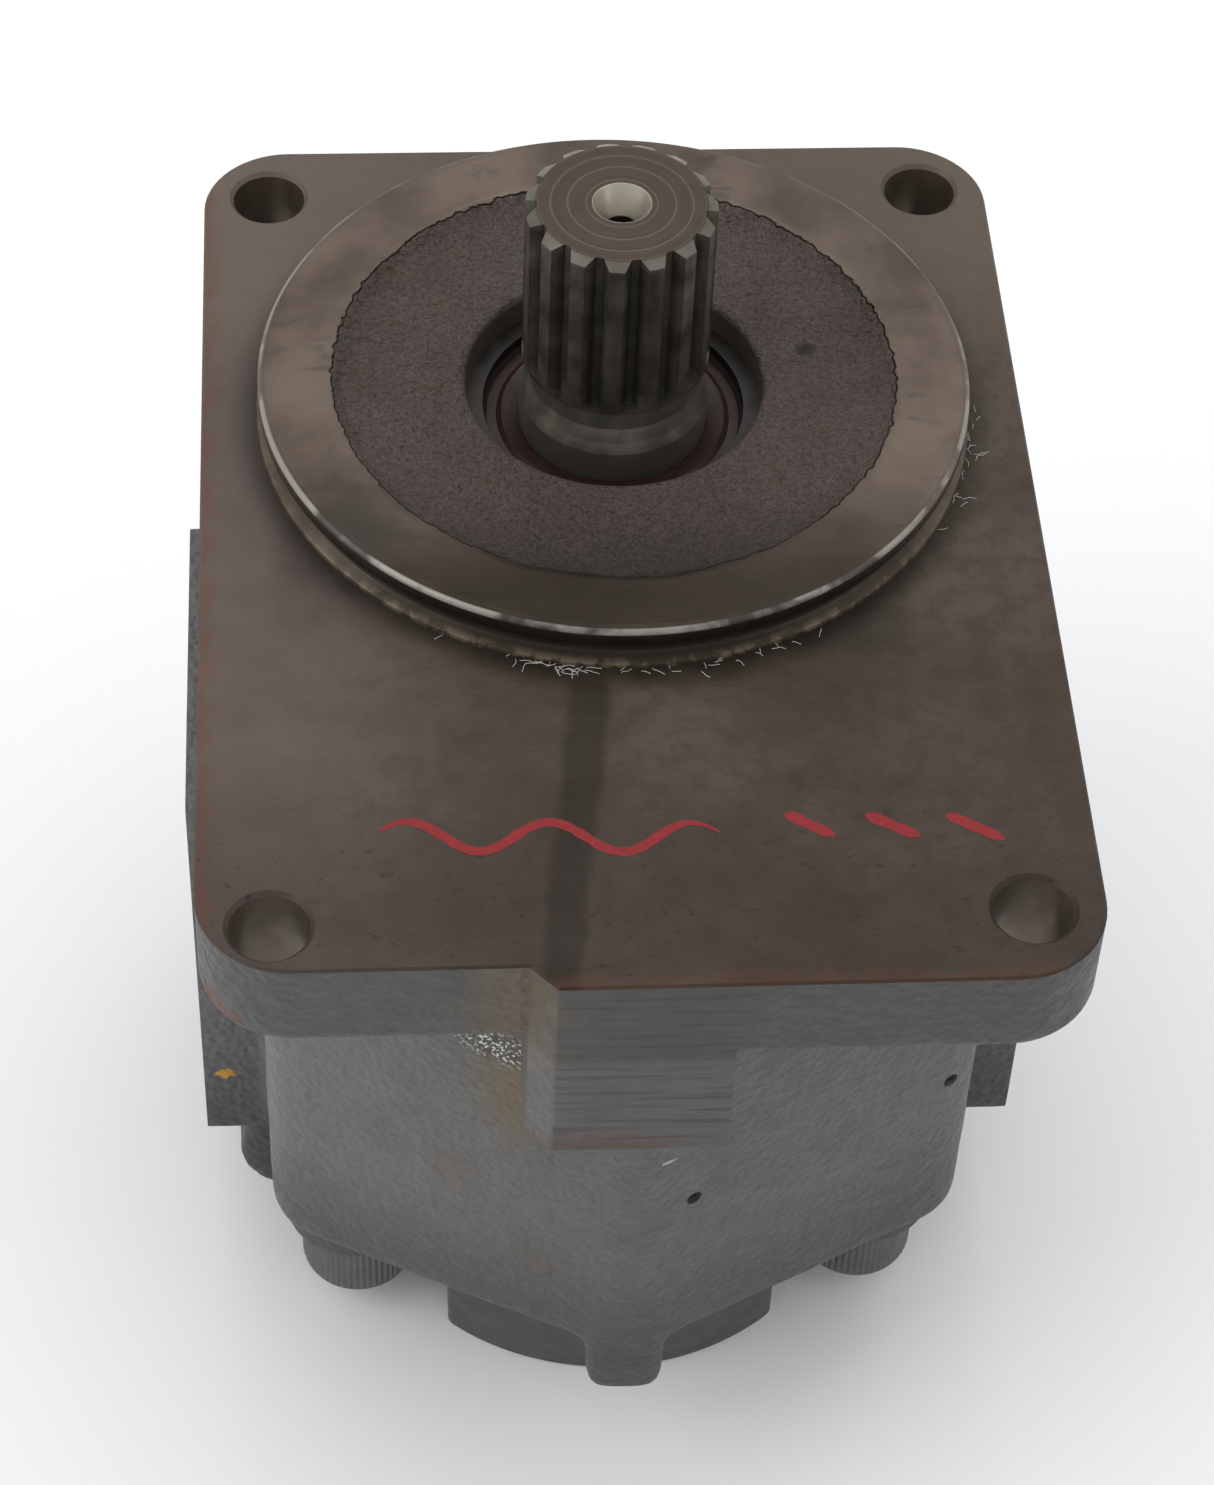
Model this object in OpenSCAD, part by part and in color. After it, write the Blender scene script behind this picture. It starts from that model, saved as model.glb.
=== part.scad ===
// External gear motor with a rectangular mounting flange, an offset pilot and a
// splined output shaft. It stands on its rear cap with the shaft pointing up.
// Origin: where the drive shaft's axis crosses the flange's mounting face.
// +Z runs out along the shaft, +X to one port, -Y towards the idler gear.

/* [Gears] */
// Tooth module of the gear pair
gear_module = 4; // [3.8:0.05:4.1]
// Teeth on each gear
gear_teeth = 12; // [12]
// Face width of the gears
gear_w = 35; // [30:1:38]
// Journal diameter of both gear shafts
journal_d = 30; // [28:1:31]

/* [Flange] */
// Width of the flange
flange_w = 122; // [120:1:126]
// Distance from the shaft's axis to the flange's back edge
flange_back = 58; // [56:1:62]
// Distance from the shaft's axis to the flange's front edge
flange_front = 109.2; // [107:0.1:114]
// Flange thickness
flange_t = 16; // [14:1:18]
// Spacing of the mounting holes across the flange
hole_span_x = 102; // [100:0.5:104]
// Spacing of the mounting holes along the flange
hole_span_y = 145; // [143:0.5:147]
// Diameter of the mounting holes
hole_d = 11; // [9:0.5:13]
// Diameter of the centring pilot
pilot_d = 105; // [104:0.1:106]
// Height of the centring pilot
pilot_h = 7.1; // [6.5:0.1:8]

/* [Shaft] */
// Height of the shaft's end above the flange face
shaft_top = 39.7; // [36:0.1:46]
// Outside diameter of the spline
spline_d = 27.5; // [26:0.1:28]
// Number of spline teeth
spline_teeth = 15; // [12:1:18]

/* [Body] */
// Distance from the flange face to the gear body's rear face
body_depth = 117; // [115:1:122]
// Width across the two port pads
ports_w = 128; // [122:1:134]
// Diameter of the two ports
port_d = 27; // [20:1:28]
// Bolt circle of each port
port_pcd = 56; // [54:1:58]

/* [Rear end] */
// Thickness of the rear cap
cap_t = 20; // [18:1:24]
// Spacing of the body bolts across the body
bolt_span_x = 81; // [80:0.5:82]
// Spacing of the body bolts along the body
bolt_span_y = 72; // [70:0.5:74]

/* [Hidden] */
$fn = 96;
eps = 0.01;

// Gear train: the idler sits in front of the drive gear
pitch_r = gear_module * gear_teeth / 2;
idler_y = -2 * pitch_r;
mid_y = idler_y / 2;
tip_r = pitch_r + gear_module - 0.2;
root_r = pitch_r - 1.25 * gear_module;
backlash = 0.35;
pressure_angle = 20;
journal_r = journal_d / 2;
chamber_r = tip_r + 0.3;

// Heights of the inner stack, from the gear body's closed end up
rear_z = -body_depth;
floor_t = 10;
block_t = 21;
chamber_floor = rear_z + floor_t;
gear_bottom = chamber_floor + block_t;
gear_top = gear_bottom + gear_w;
gear_mid = (gear_bottom + gear_top) / 2;
chamber_top = gear_top + block_t;
side_gap = 0.05;
block_r = chamber_r - 0.1;
liner_r = journal_r + 2;
running_gap = 0.04;
seal_groove = 3;
cap_z = rear_z - cap_t;

// Shaft seal seat at the mouth of the flange
seal_r = 22;
seal_h = 7;
seal_top = -1;
mouth_z = 5.5;
seal_shaft_r = 14;
recess_r = 41;
ring_t = 1.75;
ring_groove_r = 23.25;

// Castings
flange_r = 13;
step_left = -16.8;
step_right = -13.2;
step_depth = 3.9;
boss_right = 11;
boss_bottom = -37;
shoulder_x = 54;
shoulder_y = 50;
prow_y = 77;
prow_angle = atan2(prow_y - shoulder_y, shoulder_x);
body_bottom = rear_z + 6.5;
core_r = chamber_r + 5;
core_x = 44;
port_r = port_d / 2;
port_x = ports_w / 2;
port_mouth_depth = 20;
oil_way_r = 11.5;
pad_w = 58;
pad_h = 80;
port_screw_hole_r = 4.25;
port_screw_depth = 16;

// Body bolts, rear cap and case drain
bolt_d = 12;
bolt_head_d = 18;
bolt_seat_z = rear_z - 0.7;
bolt_end_z = -4;
washer_t = 1.5;
washer_d = 18;
bolt_hole_r = 6.5;
ear_r = 12;
drive_bore_r = 17;
cap_half_w = 26.2;
cap_arc_r = 41;
cap_arc_shift = 16;
cap_screw_x = 34;
cap_screw_y = 88;
cap_screw_d = 8;
cap_thread = 8;
dowel_r = 4;
dowel_x = 44;
dowel_len = 16;
drain_r = 5.25;
drain_boss_r = 10.5;
drain_x = -49;
drain_z = rear_z - 2;
drain_front = -50;
drain_back = 2;
drain_hole_y = -10;
drain_flat_x = -56;
drain_flat_r = 8;
drain_depth = 12;

// Seals: outer and inner radius of each loop
seal_channel = 2;
body_seal_r = [chamber_r + 4, chamber_r + 1.8];
cap_seal_r = [21.4, 19];
pressure_seal_r = [27.0, 24.4];
backup_r = [24.4, 22.6];
spring_r = 17.6;
spring_wire = 0.75;
spring_z = seal_top - 4.8;

// ---------- outlines and repeats ----------

// Involute angle in degrees at pressure angle a
function involute(a) = tan(a) * 180 / PI - a;

// Half tooth angle at radius r, on or above the base circle
function flank(r, base_r) =
    90 / gear_teeth - backlash / (2 * pitch_r) * 180 / PI
    + involute(pressure_angle) - involute(acos(min(1, base_r / r)));

function polar(r, a) = r * [cos(a), sin(a)];

module rounded_rect(x0, x1, y0, y1, r) {
    translate([x0 + r, y0]) square([x1 - x0 - 2 * r, y1 - y0]);
    translate([x0, y0 + r]) square([x1 - x0, y1 - y0 - 2 * r]);
    for (x = [x0 + r, x1 - r])
        for (y = [y0 + r, y1 - r])
            translate([x, y]) circle(r);
}

// Two circles on the gear axes, the outline of everything in the gear chamber
module twin_circles(r) {
    circle(r);
    translate([0, idler_y]) circle(r);
}

module at_gear_axes() {
    children();
    translate([0, idler_y, 0]) children();
}

// The four places of a pattern centred between the gear axes
module at_four(span_x, span_y) {
    for (x = [-1, 1])
        for (y = [-1, 1])
            translate([x * span_x / 2, mid_y + y * span_y / 2, 0]) children();
}

// Loop round both gear axes, for pressure seals and for the body's seal
module seal_loop(radii) {
    difference() {
        twin_circles(radii[0]);
        twin_circles(radii[1]);
    }
}

// A tube standing on z = 0
module tube(r_out, r_in, h) {
    difference() {
        cylinder(h = h, r = r_out);
        translate([0, 0, -1]) cylinder(h = h + 2, r = r_in);
    }
}

// ---------- front flange: mounting flange, pilot and seal seat in one casting ----------

module flange_outline() {
    front = -flange_front;
    left_front = front + step_depth;
    rounded_rect(-flange_w / 2, 0, left_front, flange_back, flange_r);
    rounded_rect(step_right, flange_w / 2, front, flange_back, flange_r);
    translate([step_right, front]) square(2 * flange_r);
    polygon([[step_left, left_front], [step_right, front], [step_right, 0], [step_left, 0]]);
    translate([-flange_r, 0]) square([2 * flange_r, flange_back]);
}

// Pilot with a ground land at its rim and an undercut below it
module pilot() {
    land_r = pilot_d / 2;
    undercut_r = land_r - 1.5;
    rotate_extrude()
        polygon([
            [0, -1], [land_r + 0.35, -1], [land_r + 0.35, 0.8], [undercut_r, 1.4],
            [undercut_r, pilot_h - 2.9], [land_r, pilot_h - 2.7],
            [land_r, pilot_h - 0.5], [land_r - 0.5, pilot_h], [0, pilot_h]
        ]);
}

// Distance of the gear body's front face from the shaft axis, at x
function prow_face(x) = mid_y - prow_y + abs(x) * tan(prow_angle);

// Milled boss that carries the flange's front step down over the gear body
module front_boss() {
    front = -flange_front;
    translate([0, 0, boss_bottom])
        linear_extrude(-boss_bottom - flange_t + eps)
            polygon([
                [step_left, front + step_depth], [step_right, front], [boss_right, front],
                [boss_right, prow_face(boss_right)], [0, prow_face(0)],
                [step_left, prow_face(step_left)]
            ]);
}

module seal_mouth() {
    translate([0, 0, mouth_z]) cylinder(h = pilot_h, r = recess_r);
    translate([0, 0, seal_top - seal_h]) cylinder(h = 20, r = seal_r);
    translate([0, 0, seal_top]) cylinder(h = ring_t, r = ring_groove_r);
    translate([0, 0, chamber_top - 1]) cylinder(h = -chamber_top, r = drive_bore_r);
}

module flange_holes() {
    centre_y = -25;
    chamfer = 0.62;
    for (x = [-1, 1])
        for (y = [-1, 1])
            translate([x * hole_span_x / 2, centre_y + y * hole_span_y / 2, 0]) {
                translate([0, 0, -flange_t - 1]) cylinder(h = flange_t + 2, d = hole_d);
                translate([0, 0, -chamfer])
                    cylinder(h = chamfer + eps, r1 = hole_d / 2, r2 = hole_d / 2 + chamfer);
            }
}

module dowel_holes() {
    for (x = [-dowel_x, dowel_x])
        translate([x, mid_y, -flange_t - dowel_len / 2]) cylinder(h = dowel_len, r = dowel_r);
}

module front_flange() {
    register_gap = 0.05;
    color([0.33, 0.32, 0.30])
    difference() {
        union() {
            translate([0, 0, -flange_t]) linear_extrude(flange_t) flange_outline();
            pilot();
            front_boss();
            translate([0, 0, chamber_top])
                linear_extrude(-flange_t - chamber_top + eps) twin_circles(chamber_r - register_gap);
        }
        seal_mouth();
        flange_holes();
        dowel_holes();
        at_four(bolt_span_x, bolt_span_y)
            translate([0, 0, bolt_end_z - 20]) cylinder(h = 20, d = bolt_d);
    }
}

// ---------- gear body: prowed casting with the gear chamber, ports and drain ----------

// A prow at the front and at the back, shoulders at the sides
module prowed_block() {
    corner = 9;
    prow = 6;
    lean = cos(prow_angle);
    shoulder_c = [
        shoulder_x - corner, prow_y - (shoulder_x - corner) * tan(prow_angle) - corner / lean
    ];
    prow_c = prow_y - prow / lean;
    hull() {
        for (x = [-1, 1])
            for (y = [-1, 1])
                translate([x * shoulder_c[0], mid_y + y * shoulder_c[1], 0]) {
                    translate([0, 0, body_bottom + corner]) sphere(corner, $fn = 32);
                    translate([0, 0, -flange_t - 1]) cylinder(h = 1, r = corner, $fn = 32);
                }
        for (y = [-1, 1])
            translate([0, mid_y + y * prow_c, 0]) {
                translate([0, 0, body_bottom + corner]) sphere(prow, $fn = 32);
                translate([0, 0, -flange_t - 1]) cylinder(h = 1, r = prow, $fn = 32);
            }
    }
}

// Lug under the front prow
module lug() {
    lug_r = 3;
    bottom = rear_z + 0.4;
    front_y = mid_y - prow_y + 4.4;
    hull()
        for (x = [-3.2, 3.2])
            for (y = [front_y, front_y + 12])
                translate([x, y, bottom]) {
                    translate([0, 0, lug_r]) sphere(lug_r, $fn = 32);
                    translate([0, 0, 21]) cylinder(h = 1, r = lug_r, $fn = 32);
                }
}

module port_pads() {
    translate([-port_x, mid_y - pad_w / 2, gear_mid - pad_h / 2]) cube([ports_w, pad_w, pad_h]);
}

// Round core behind the gear chamber, with an ear round each body bolt
module rear_core() {
    depth = body_bottom - rear_z + 10;
    translate([0, 0, rear_z])
        linear_extrude(depth) {
            twin_circles(core_r);
            translate([-core_x, drain_front]) square([2 * core_x, drain_back - drain_front]);
        }
    at_four(bolt_span_x, bolt_span_y)
        translate([0, 0, bolt_seat_z]) cylinder(h = depth + 5, r = ear_r);
}

module drain_boss() {
    translate([drain_x, drain_back, drain_z])
        rotate([90, 0, 0]) cylinder(h = drain_back - drain_front, r = drain_boss_r);
}

// Tapped drain port in a flat on the boss, and the drilling that joins it to the shaft end
module drain_drillings() {
    drilling_z = rear_z + 3.5;
    translate([drain_flat_x, drain_hole_y, drain_z])
        rotate([0, 90, 0]) {
            translate([0, 0, -10]) cylinder(h = 10, r = drain_flat_r);
            translate([0, 0, -1]) cylinder(h = drain_depth + 1, r = drain_r);
        }
    translate([drain_x, drain_hole_y, drilling_z])
        rotate([0, 90, 0]) cylinder(h = -drain_x, r = 2);
}

module gear_chamber() {
    translate([0, 0, chamber_floor])
        linear_extrude(-flange_t - chamber_floor + 1) twin_circles(chamber_r);
    translate([0, 0, rear_z - 1]) cylinder(h = floor_t + 2, r = drive_bore_r);
}

// A port in each side, joined by the oil way, with four tapped holes round each mouth
module ports() {
    translate([0, mid_y, gear_mid])
        rotate([0, 90, 0]) {
            translate([0, 0, -port_x]) cylinder(h = ports_w, r = oil_way_r);
            for (side = [0, 180])
                rotate([side, 0, 0]) {
                    translate([0, 0, port_x - port_mouth_depth])
                        cylinder(h = port_mouth_depth + 1, r = port_r);
                    for (a = [45 : 90 : 315])
                        rotate([0, 0, a])
                            translate([port_pcd / 2, 0, port_x - port_screw_depth])
                                cylinder(h = port_screw_depth + 1, r = port_screw_hole_r);
                }
        }
}

// Two small rivet holes for a nameplate, square to the right front prow face
module rivet_holes() {
    for (x = [9, 49])
        translate([x, prow_face(x), -69])
            rotate([90, 0, prow_angle])
                translate([0, 0, -6]) cylinder(h = 12, r = 1.25, $fn = 32);
}

module gear_body() {
    color([0.33, 0.34, 0.35])
    difference() {
        union() {
            prowed_block();
            lug();
            port_pads();
            rear_core();
            drain_boss();
        }
        gear_chamber();
        ports();
        rivet_holes();
        drain_drillings();
        dowel_holes();
        at_four(bolt_span_x, bolt_span_y)
            translate([0, 0, bolt_seat_z - 1]) cylinder(h = body_depth + 8, r = bolt_hole_r);
        at_four(cap_screw_x, cap_screw_y)
            translate([0, 0, rear_z - 1]) cylinder(h = cap_thread + 1, d = cap_screw_d);
        translate([0, 0, -flange_t - seal_channel])
            linear_extrude(seal_channel + 1) seal_loop(body_seal_r);
    }
}

// ---------- rear cap over the drive shaft's rear opening ----------

module cap_outline() {
    intersection() {
        translate([-cap_half_w, mid_y - 80]) square([2 * cap_half_w, 160]);
        union() {
            translate([0, mid_y - cap_arc_shift]) circle(cap_arc_r);
            translate([0, mid_y + cap_arc_shift]) circle(cap_arc_r);
            translate([-cap_half_w, mid_y - cap_arc_shift])
                square([2 * cap_half_w, 2 * cap_arc_shift]);
        }
    }
}

module rear_cap() {
    relief_depth = 6;
    head_depth = 5;
    color([0.16, 0.16, 0.15])
    difference() {
        translate([0, 0, cap_z]) linear_extrude(cap_t) cap_outline();
        translate([0, 0, rear_z - relief_depth]) cylinder(h = relief_depth + 1, r = drive_bore_r - 2);
        translate([0, 0, rear_z - seal_channel])
            tube(cap_seal_r[0], cap_seal_r[1], seal_channel + 1);
        at_four(cap_screw_x, cap_screw_y) {
            translate([0, 0, cap_z - 1]) cylinder(h = cap_t + 2, r = 4.2);
            translate([0, 0, cap_z - 1]) cylinder(h = head_depth + 1, r = 7);
        }
    }
}

// ---------- gears and shafts ----------

module gear_outline() {
    base_r = pitch_r * cos(pressure_angle);
    steps = 6;
    foot = flank(base_r, base_r);
    function flank_r(i) = base_r + (tip_r - base_r) * i / steps;
    polygon([
        for (tooth = [0 : gear_teeth - 1])
            let (at = 360 * tooth / gear_teeth)
            each concat(
                [polar(root_r, at - foot - 1)],
                [for (i = [0 : steps]) polar(flank_r(i), at - flank(flank_r(i), base_r))],
                [for (i = [steps : -1 : 0]) polar(flank_r(i), at + flank(flank_r(i), base_r))],
                [polar(root_r, at + foot + 1)]
            )
    ]);
}

// Gear wheel with its first tooth turned to angle a
module gear_wheel(a) {
    translate([0, 0, gear_bottom + side_gap])
        linear_extrude(gear_w - 2 * side_gap)
            rotate(a) gear_outline();
}

// Tooth spaces of the spline, cut from the shaft's end down to a plain band
module spline_grooves() {
    pitch = 360 / spline_teeth;
    root = spline_d / 2 - 1.7;
    outside = spline_d / 2 + 1;
    end_z = 11.9;
    half_root = 2.4;
    half_outside = 9.7;
    for (i = [0 : spline_teeth - 1])
        translate([0, 0, end_z])
            linear_extrude(shaft_top - end_z + 1)
                rotate((i + 0.5) * pitch)
                    polygon([
                        polar(root, -half_root), polar(root, half_root),
                        polar(outside, half_outside), polar(outside, -half_outside)
                    ]);
}

// Turned profile of the drive shaft, from its centred end to its rear journal
module drive_shaft_body() {
    tip = spline_d / 2;
    neck = 12.8;
    end_z = chamber_floor + 2;
    step_z = seal_top - seal_h - 1;
    rotate_extrude()
        polygon([
            [0, end_z], [journal_r - 0.8, end_z], [journal_r, end_z + 0.8],
            [journal_r, step_z - 0.8], [seal_shaft_r, step_z], [seal_shaft_r, 3.4],
            [13.4, 5.2], [neck, 7.4], [neck, 10.8], [tip, 11.2],
            [tip, shaft_top - 0.9], [tip - 1.45, shaft_top], [0, shaft_top]
        ]);
}

module centre_drill() {
    translate([0, 0, shaft_top - 4.5]) cylinder(h = 4.51, r1 = 2.4, r2 = 4.2);
    translate([0, 0, shaft_top - 16]) cylinder(h = 12, r = 2.4);
}

module drive_gear_shaft() {
    color([0.30, 0.29, 0.27])
    difference() {
        union() {
            drive_shaft_body();
            gear_wheel(-90);
        }
        spline_grooves();
        centre_drill();
    }
}

module idler_gear_shaft() {
    half_pitch = 180 / gear_teeth;
    low = chamber_floor + 2;
    high = chamber_top - 2;
    color([0.42, 0.42, 0.41])
    translate([0, idler_y, 0]) {
        gear_wheel(90 + half_pitch);
        rotate_extrude()
            polygon([
                [0, low], [journal_r - 0.8, low], [journal_r, low + 0.8],
                [journal_r, high - 0.8], [journal_r - 0.8, high], [0, high]
            ]);
    }
}

// ---------- bearing blocks and liners ----------

// A bushing block from z0 up, with its seal groove in the face away from the gears
module bushing_block(z0, groove_z) {
    color([0.66, 0.66, 0.64])
    difference() {
        translate([0, 0, z0]) linear_extrude(block_t) twin_circles(block_r);
        at_gear_axes()
            translate([0, 0, z0 - 1]) cylinder(h = block_t + 2, r = liner_r);
        translate([0, 0, groove_z])
            linear_extrude(seal_groove) seal_loop([pressure_seal_r[0], backup_r[1]]);
    }
}

module front_bushing_block() {
    bushing_block(gear_top, chamber_top - seal_groove);
}

module rear_bushing_block() {
    bushing_block(chamber_floor, chamber_floor);
}

module liner(y, z0) {
    color([0.60, 0.48, 0.28])
    translate([0, y, z0]) tube(liner_r, journal_r + running_gap, block_t);
}

module drive_front_liner() {
    liner(0, gear_top);
}

module drive_rear_liner() {
    liner(0, chamber_floor);
}

module idler_front_liner() {
    liner(idler_y, gear_top);
}

module idler_rear_liner() {
    liner(idler_y, chamber_floor);
}

// ---------- seals ----------

module pressure_seal(z0) {
    color([0.09, 0.09, 0.09])
    translate([0, 0, z0]) linear_extrude(seal_groove) seal_loop(pressure_seal_r);
}

module front_pressure_seal() {
    pressure_seal(chamber_top - seal_groove);
}

module rear_pressure_seal() {
    pressure_seal(chamber_floor);
}

module backup_rings(z0) {
    color([0.85, 0.83, 0.76])
    at_gear_axes()
        translate([0, 0, z0]) tube(backup_r[0], backup_r[1], seal_groove);
}

module front_backup_rings() {
    backup_rings(chamber_top - seal_groove);
}

module rear_backup_rings() {
    backup_rings(chamber_floor);
}

module body_seal() {
    color([0.09, 0.09, 0.09])
    translate([0, 0, -flange_t - seal_channel]) linear_extrude(seal_channel) seal_loop(body_seal_r);
}

module cap_seal() {
    color([0.09, 0.09, 0.09])
    translate([0, 0, rear_z - seal_channel]) tube(cap_seal_r[0], cap_seal_r[1], seal_channel);
}

module garter_ring() {
    rotate_extrude() translate([spring_r, spring_z]) circle(spring_wire, $fn = 24);
}

// L-shaped steel ring bonded inside the seal's rubber
module case_ring() {
    translate([0, 0, seal_top])
        rotate_extrude()
            polygon([
                [21.4, -6.4], [21.4, -1.2], [18.6, -1.2], [18.6, -2.0], [20.6, -2.0], [20.6, -6.4]
            ]);
}

// Rubber body of the lip seal: main lip below, dust lip above
module shaft_seal() {
    lip = seal_shaft_r + 0.06;
    color([0.14, 0.07, 0.06])
    difference() {
        translate([0, 0, seal_top])
            rotate_extrude()
                polygon([
                    [seal_r, -seal_h], [seal_r, 0], [19.4, 0], [18.8, -0.8], [17.4, -0.8],
                    [16.6, -0.3], [lip, -0.9], [lip, -1.3], [16.0, -2.2], [15.8, -3.6],
                    [lip, -4.6], [lip, -5.0], [16.6, -6.6], [18.6, -6.6], [18.6, -2.8],
                    [20.2, -2.4], [20.4, -seal_h]
                ]);
        garter_ring();
        case_ring();
    }
}

module shaft_seal_case() {
    color([0.55, 0.55, 0.56]) case_ring();
}

module garter_spring() {
    color([0.6, 0.6, 0.6]) garter_ring();
}

// Inner circlip: an open ring with two eyed lugs
module retaining_ring() {
    inner = 19.4;
    gap = 24;
    lug_at = 85;
    color([0.20, 0.19, 0.18])
    translate([0, 0, seal_top])
        linear_extrude(ring_t - 0.05)
            difference() {
                union() {
                    difference() {
                        circle(ring_groove_r - 0.05);
                        circle(inner);
                        polygon([
                            [0, 0], polar(30, lug_at - gap / 2), polar(30, lug_at + gap / 2)
                        ]);
                    }
                    for (side = [-1, 1])
                        translate(polar(20, lug_at + side * (gap / 2 + 5))) circle(2.3, $fn = 32);
                }
                for (side = [-1, 1])
                    translate(polar(19.8, lug_at + side * (gap / 2 + 5))) circle(1.1, $fn = 32);
            }
}

// ---------- fasteners ----------

module dowel_pins() {
    end_gap = 0.2;
    color([0.62, 0.62, 0.62])
    for (x = [-dowel_x, dowel_x])
        translate([x, mid_y, -flange_t - dowel_len / 2 + end_gap])
            cylinder(h = dowel_len - 2 * end_gap, r = dowel_r);
}

module bolt_washers() {
    color([0.20, 0.20, 0.19])
    at_four(bolt_span_x, bolt_span_y)
        translate([0, 0, bolt_seat_z - washer_t]) tube(washer_d / 2, bolt_d / 2 + 0.5, washer_t);
}

// Socket-head screw with its shank up, its head resting on z = 0
module socket_screw(d, head_d, head_h, key, shank) {
    difference() {
        union() {
            cylinder(h = 0.8, r1 = head_d / 2 - 0.8, r2 = head_d / 2);
            translate([0, 0, 0.8]) cylinder(h = head_h - 0.8, d = head_d);
            cylinder(h = head_h + shank, d = d);
        }
        translate([0, 0, -1]) cylinder(h = head_h / 2 + 1, d = key / cos(30), $fn = 6);
    }
}

module body_bolts() {
    head_z = bolt_seat_z - washer_t - bolt_d;
    color([0.17, 0.17, 0.17])
    at_four(bolt_span_x, bolt_span_y)
        translate([0, 0, head_z])
            socket_screw(bolt_d, bolt_head_d, bolt_d, 10, bolt_end_z - 1 - head_z - bolt_d);
}

module cap_screws() {
    head_h = 4.8;
    color([0.17, 0.17, 0.17])
    at_four(cap_screw_x, cap_screw_y)
        translate([0, 0, cap_z + 5 - head_h])
            socket_screw(cap_screw_d, 13, head_h, 5, cap_t - 5 + cap_thread - 1);
}

front_flange();
gear_body();
rear_cap();
drive_gear_shaft();
idler_gear_shaft();
front_bushing_block();
rear_bushing_block();
drive_front_liner();
drive_rear_liner();
idler_front_liner();
idler_rear_liner();
front_pressure_seal();
rear_pressure_seal();
front_backup_rings();
rear_backup_rings();
body_seal();
cap_seal();
shaft_seal();
shaft_seal_case();
garter_spring();
retaining_ring();
dowel_pins();
bolt_washers();
body_bolts();
cap_screws();
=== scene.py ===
"""Looks of the hydraulic gear motor: cast, machined and painted surfaces on the CAD frame.

Lengths in the building functions are millimetres in the frame of the CAD model: +Z out
along the shaft, the flange's mounting face at z = 0. Objects are made in metres.
"""
import math
import random

import bmesh
import bpy
from mathutils import Matrix, Vector, noise


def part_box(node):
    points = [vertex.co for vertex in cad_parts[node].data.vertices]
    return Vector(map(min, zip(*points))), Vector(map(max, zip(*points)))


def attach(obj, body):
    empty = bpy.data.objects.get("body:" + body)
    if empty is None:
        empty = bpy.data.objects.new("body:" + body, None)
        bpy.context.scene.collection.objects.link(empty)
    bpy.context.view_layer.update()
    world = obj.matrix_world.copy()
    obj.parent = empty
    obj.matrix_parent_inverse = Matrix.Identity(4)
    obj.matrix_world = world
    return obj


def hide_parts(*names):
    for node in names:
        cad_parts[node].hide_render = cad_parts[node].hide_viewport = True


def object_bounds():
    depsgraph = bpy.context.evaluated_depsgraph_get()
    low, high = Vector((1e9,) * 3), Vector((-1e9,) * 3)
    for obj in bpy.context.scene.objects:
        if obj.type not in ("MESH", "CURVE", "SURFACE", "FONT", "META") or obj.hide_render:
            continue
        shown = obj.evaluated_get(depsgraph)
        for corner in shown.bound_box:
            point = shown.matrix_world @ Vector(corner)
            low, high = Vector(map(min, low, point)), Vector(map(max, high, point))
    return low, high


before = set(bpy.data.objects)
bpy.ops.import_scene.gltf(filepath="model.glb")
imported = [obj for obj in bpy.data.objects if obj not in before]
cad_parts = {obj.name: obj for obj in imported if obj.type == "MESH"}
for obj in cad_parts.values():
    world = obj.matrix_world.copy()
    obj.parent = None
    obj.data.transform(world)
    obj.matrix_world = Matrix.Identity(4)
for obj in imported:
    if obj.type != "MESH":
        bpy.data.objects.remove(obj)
cad_low, cad_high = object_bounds()

MM = 0.001
CASING = "casing"


def box_mm(node):
    """Lowest and highest corner of a CAD node, in millimetres."""
    low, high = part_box(node)
    return low / MM, high / MM


flange_low, flange_high = box_mm("front_flange")
body_low, body_high = box_mm("gear_body")
cap_low, cap_high = box_mm("rear_cap")
bolt_low, bolt_high = box_mm("body_bolts")
washer_low, washer_high = box_mm("bolt_washers")
screw_low, screw_high = box_mm("cap_screws")
drive_low, drive_high = box_mm("drive_gear_shaft")
idler_low, idler_high = box_mm("idler_gear_shaft")

# Flange casting
FLANGE_T = 16.0
FLANGE_CORNER = 13.0
PILOT_R = 52.5
PILOT_SEAT_R = 50.0
RECESS_R = 41.0
RECESS_Z = 5.5
SEAL_R = 22.0
SEAL_FLOOR_Z = -8.0
SHAFT_HOLE_R = 17.0
STEP_LEFT = -16.8
STEP_RIGHT = -13.2
STEP_DEPTH = 3.9
BOSS_RIGHT = 11.0
HOLE_R = 5.5
HOLE_X = 51.0
HOLE_Y = (-97.5, 47.5)

# Gear body casting
IDLER_Y = (idler_low.y + idler_high.y) / 2
MID_Y = IDLER_Y / 2
CHAMBER_R = 28.1
CHAMBER_FLOOR = drive_low.z - 2.0
PROW_Y = body_low.y
PROW_SLOPE = 0.5
SHOULDER_X = 54.0
BODY_BOTTOM = cap_high.z + 6.5
EAR_R = 12.0
BOLT_R = 9.0
BOLT_X = bolt_high.x - BOLT_R
BOLT_Y = (bolt_low.y + BOLT_R, bolt_high.y - BOLT_R)
PORT_R = 13.5
PORT_MOUTH = 20.0
OIL_WAY_R = 11.5
PORT_Z = (idler_low.z + idler_high.z) / 2
PORT_PCD = 56.0
PAD_W = 58.0
PAD_H = 80.0
DRAIN_X = -49.0
DRAIN_Z = cap_high.z - 2.0
DRAIN_Y = (-50.0, 2.0)
DRAIN_HOLE_Y = -10.0
DRAIN_FLAT_X = -56.0
DRAIN_BOSS_R = 10.5
RIVET_X = (9, 49)
REAR_LUG_Z = cap_high.z + 0.2
SCREW_R = 6.5

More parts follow.
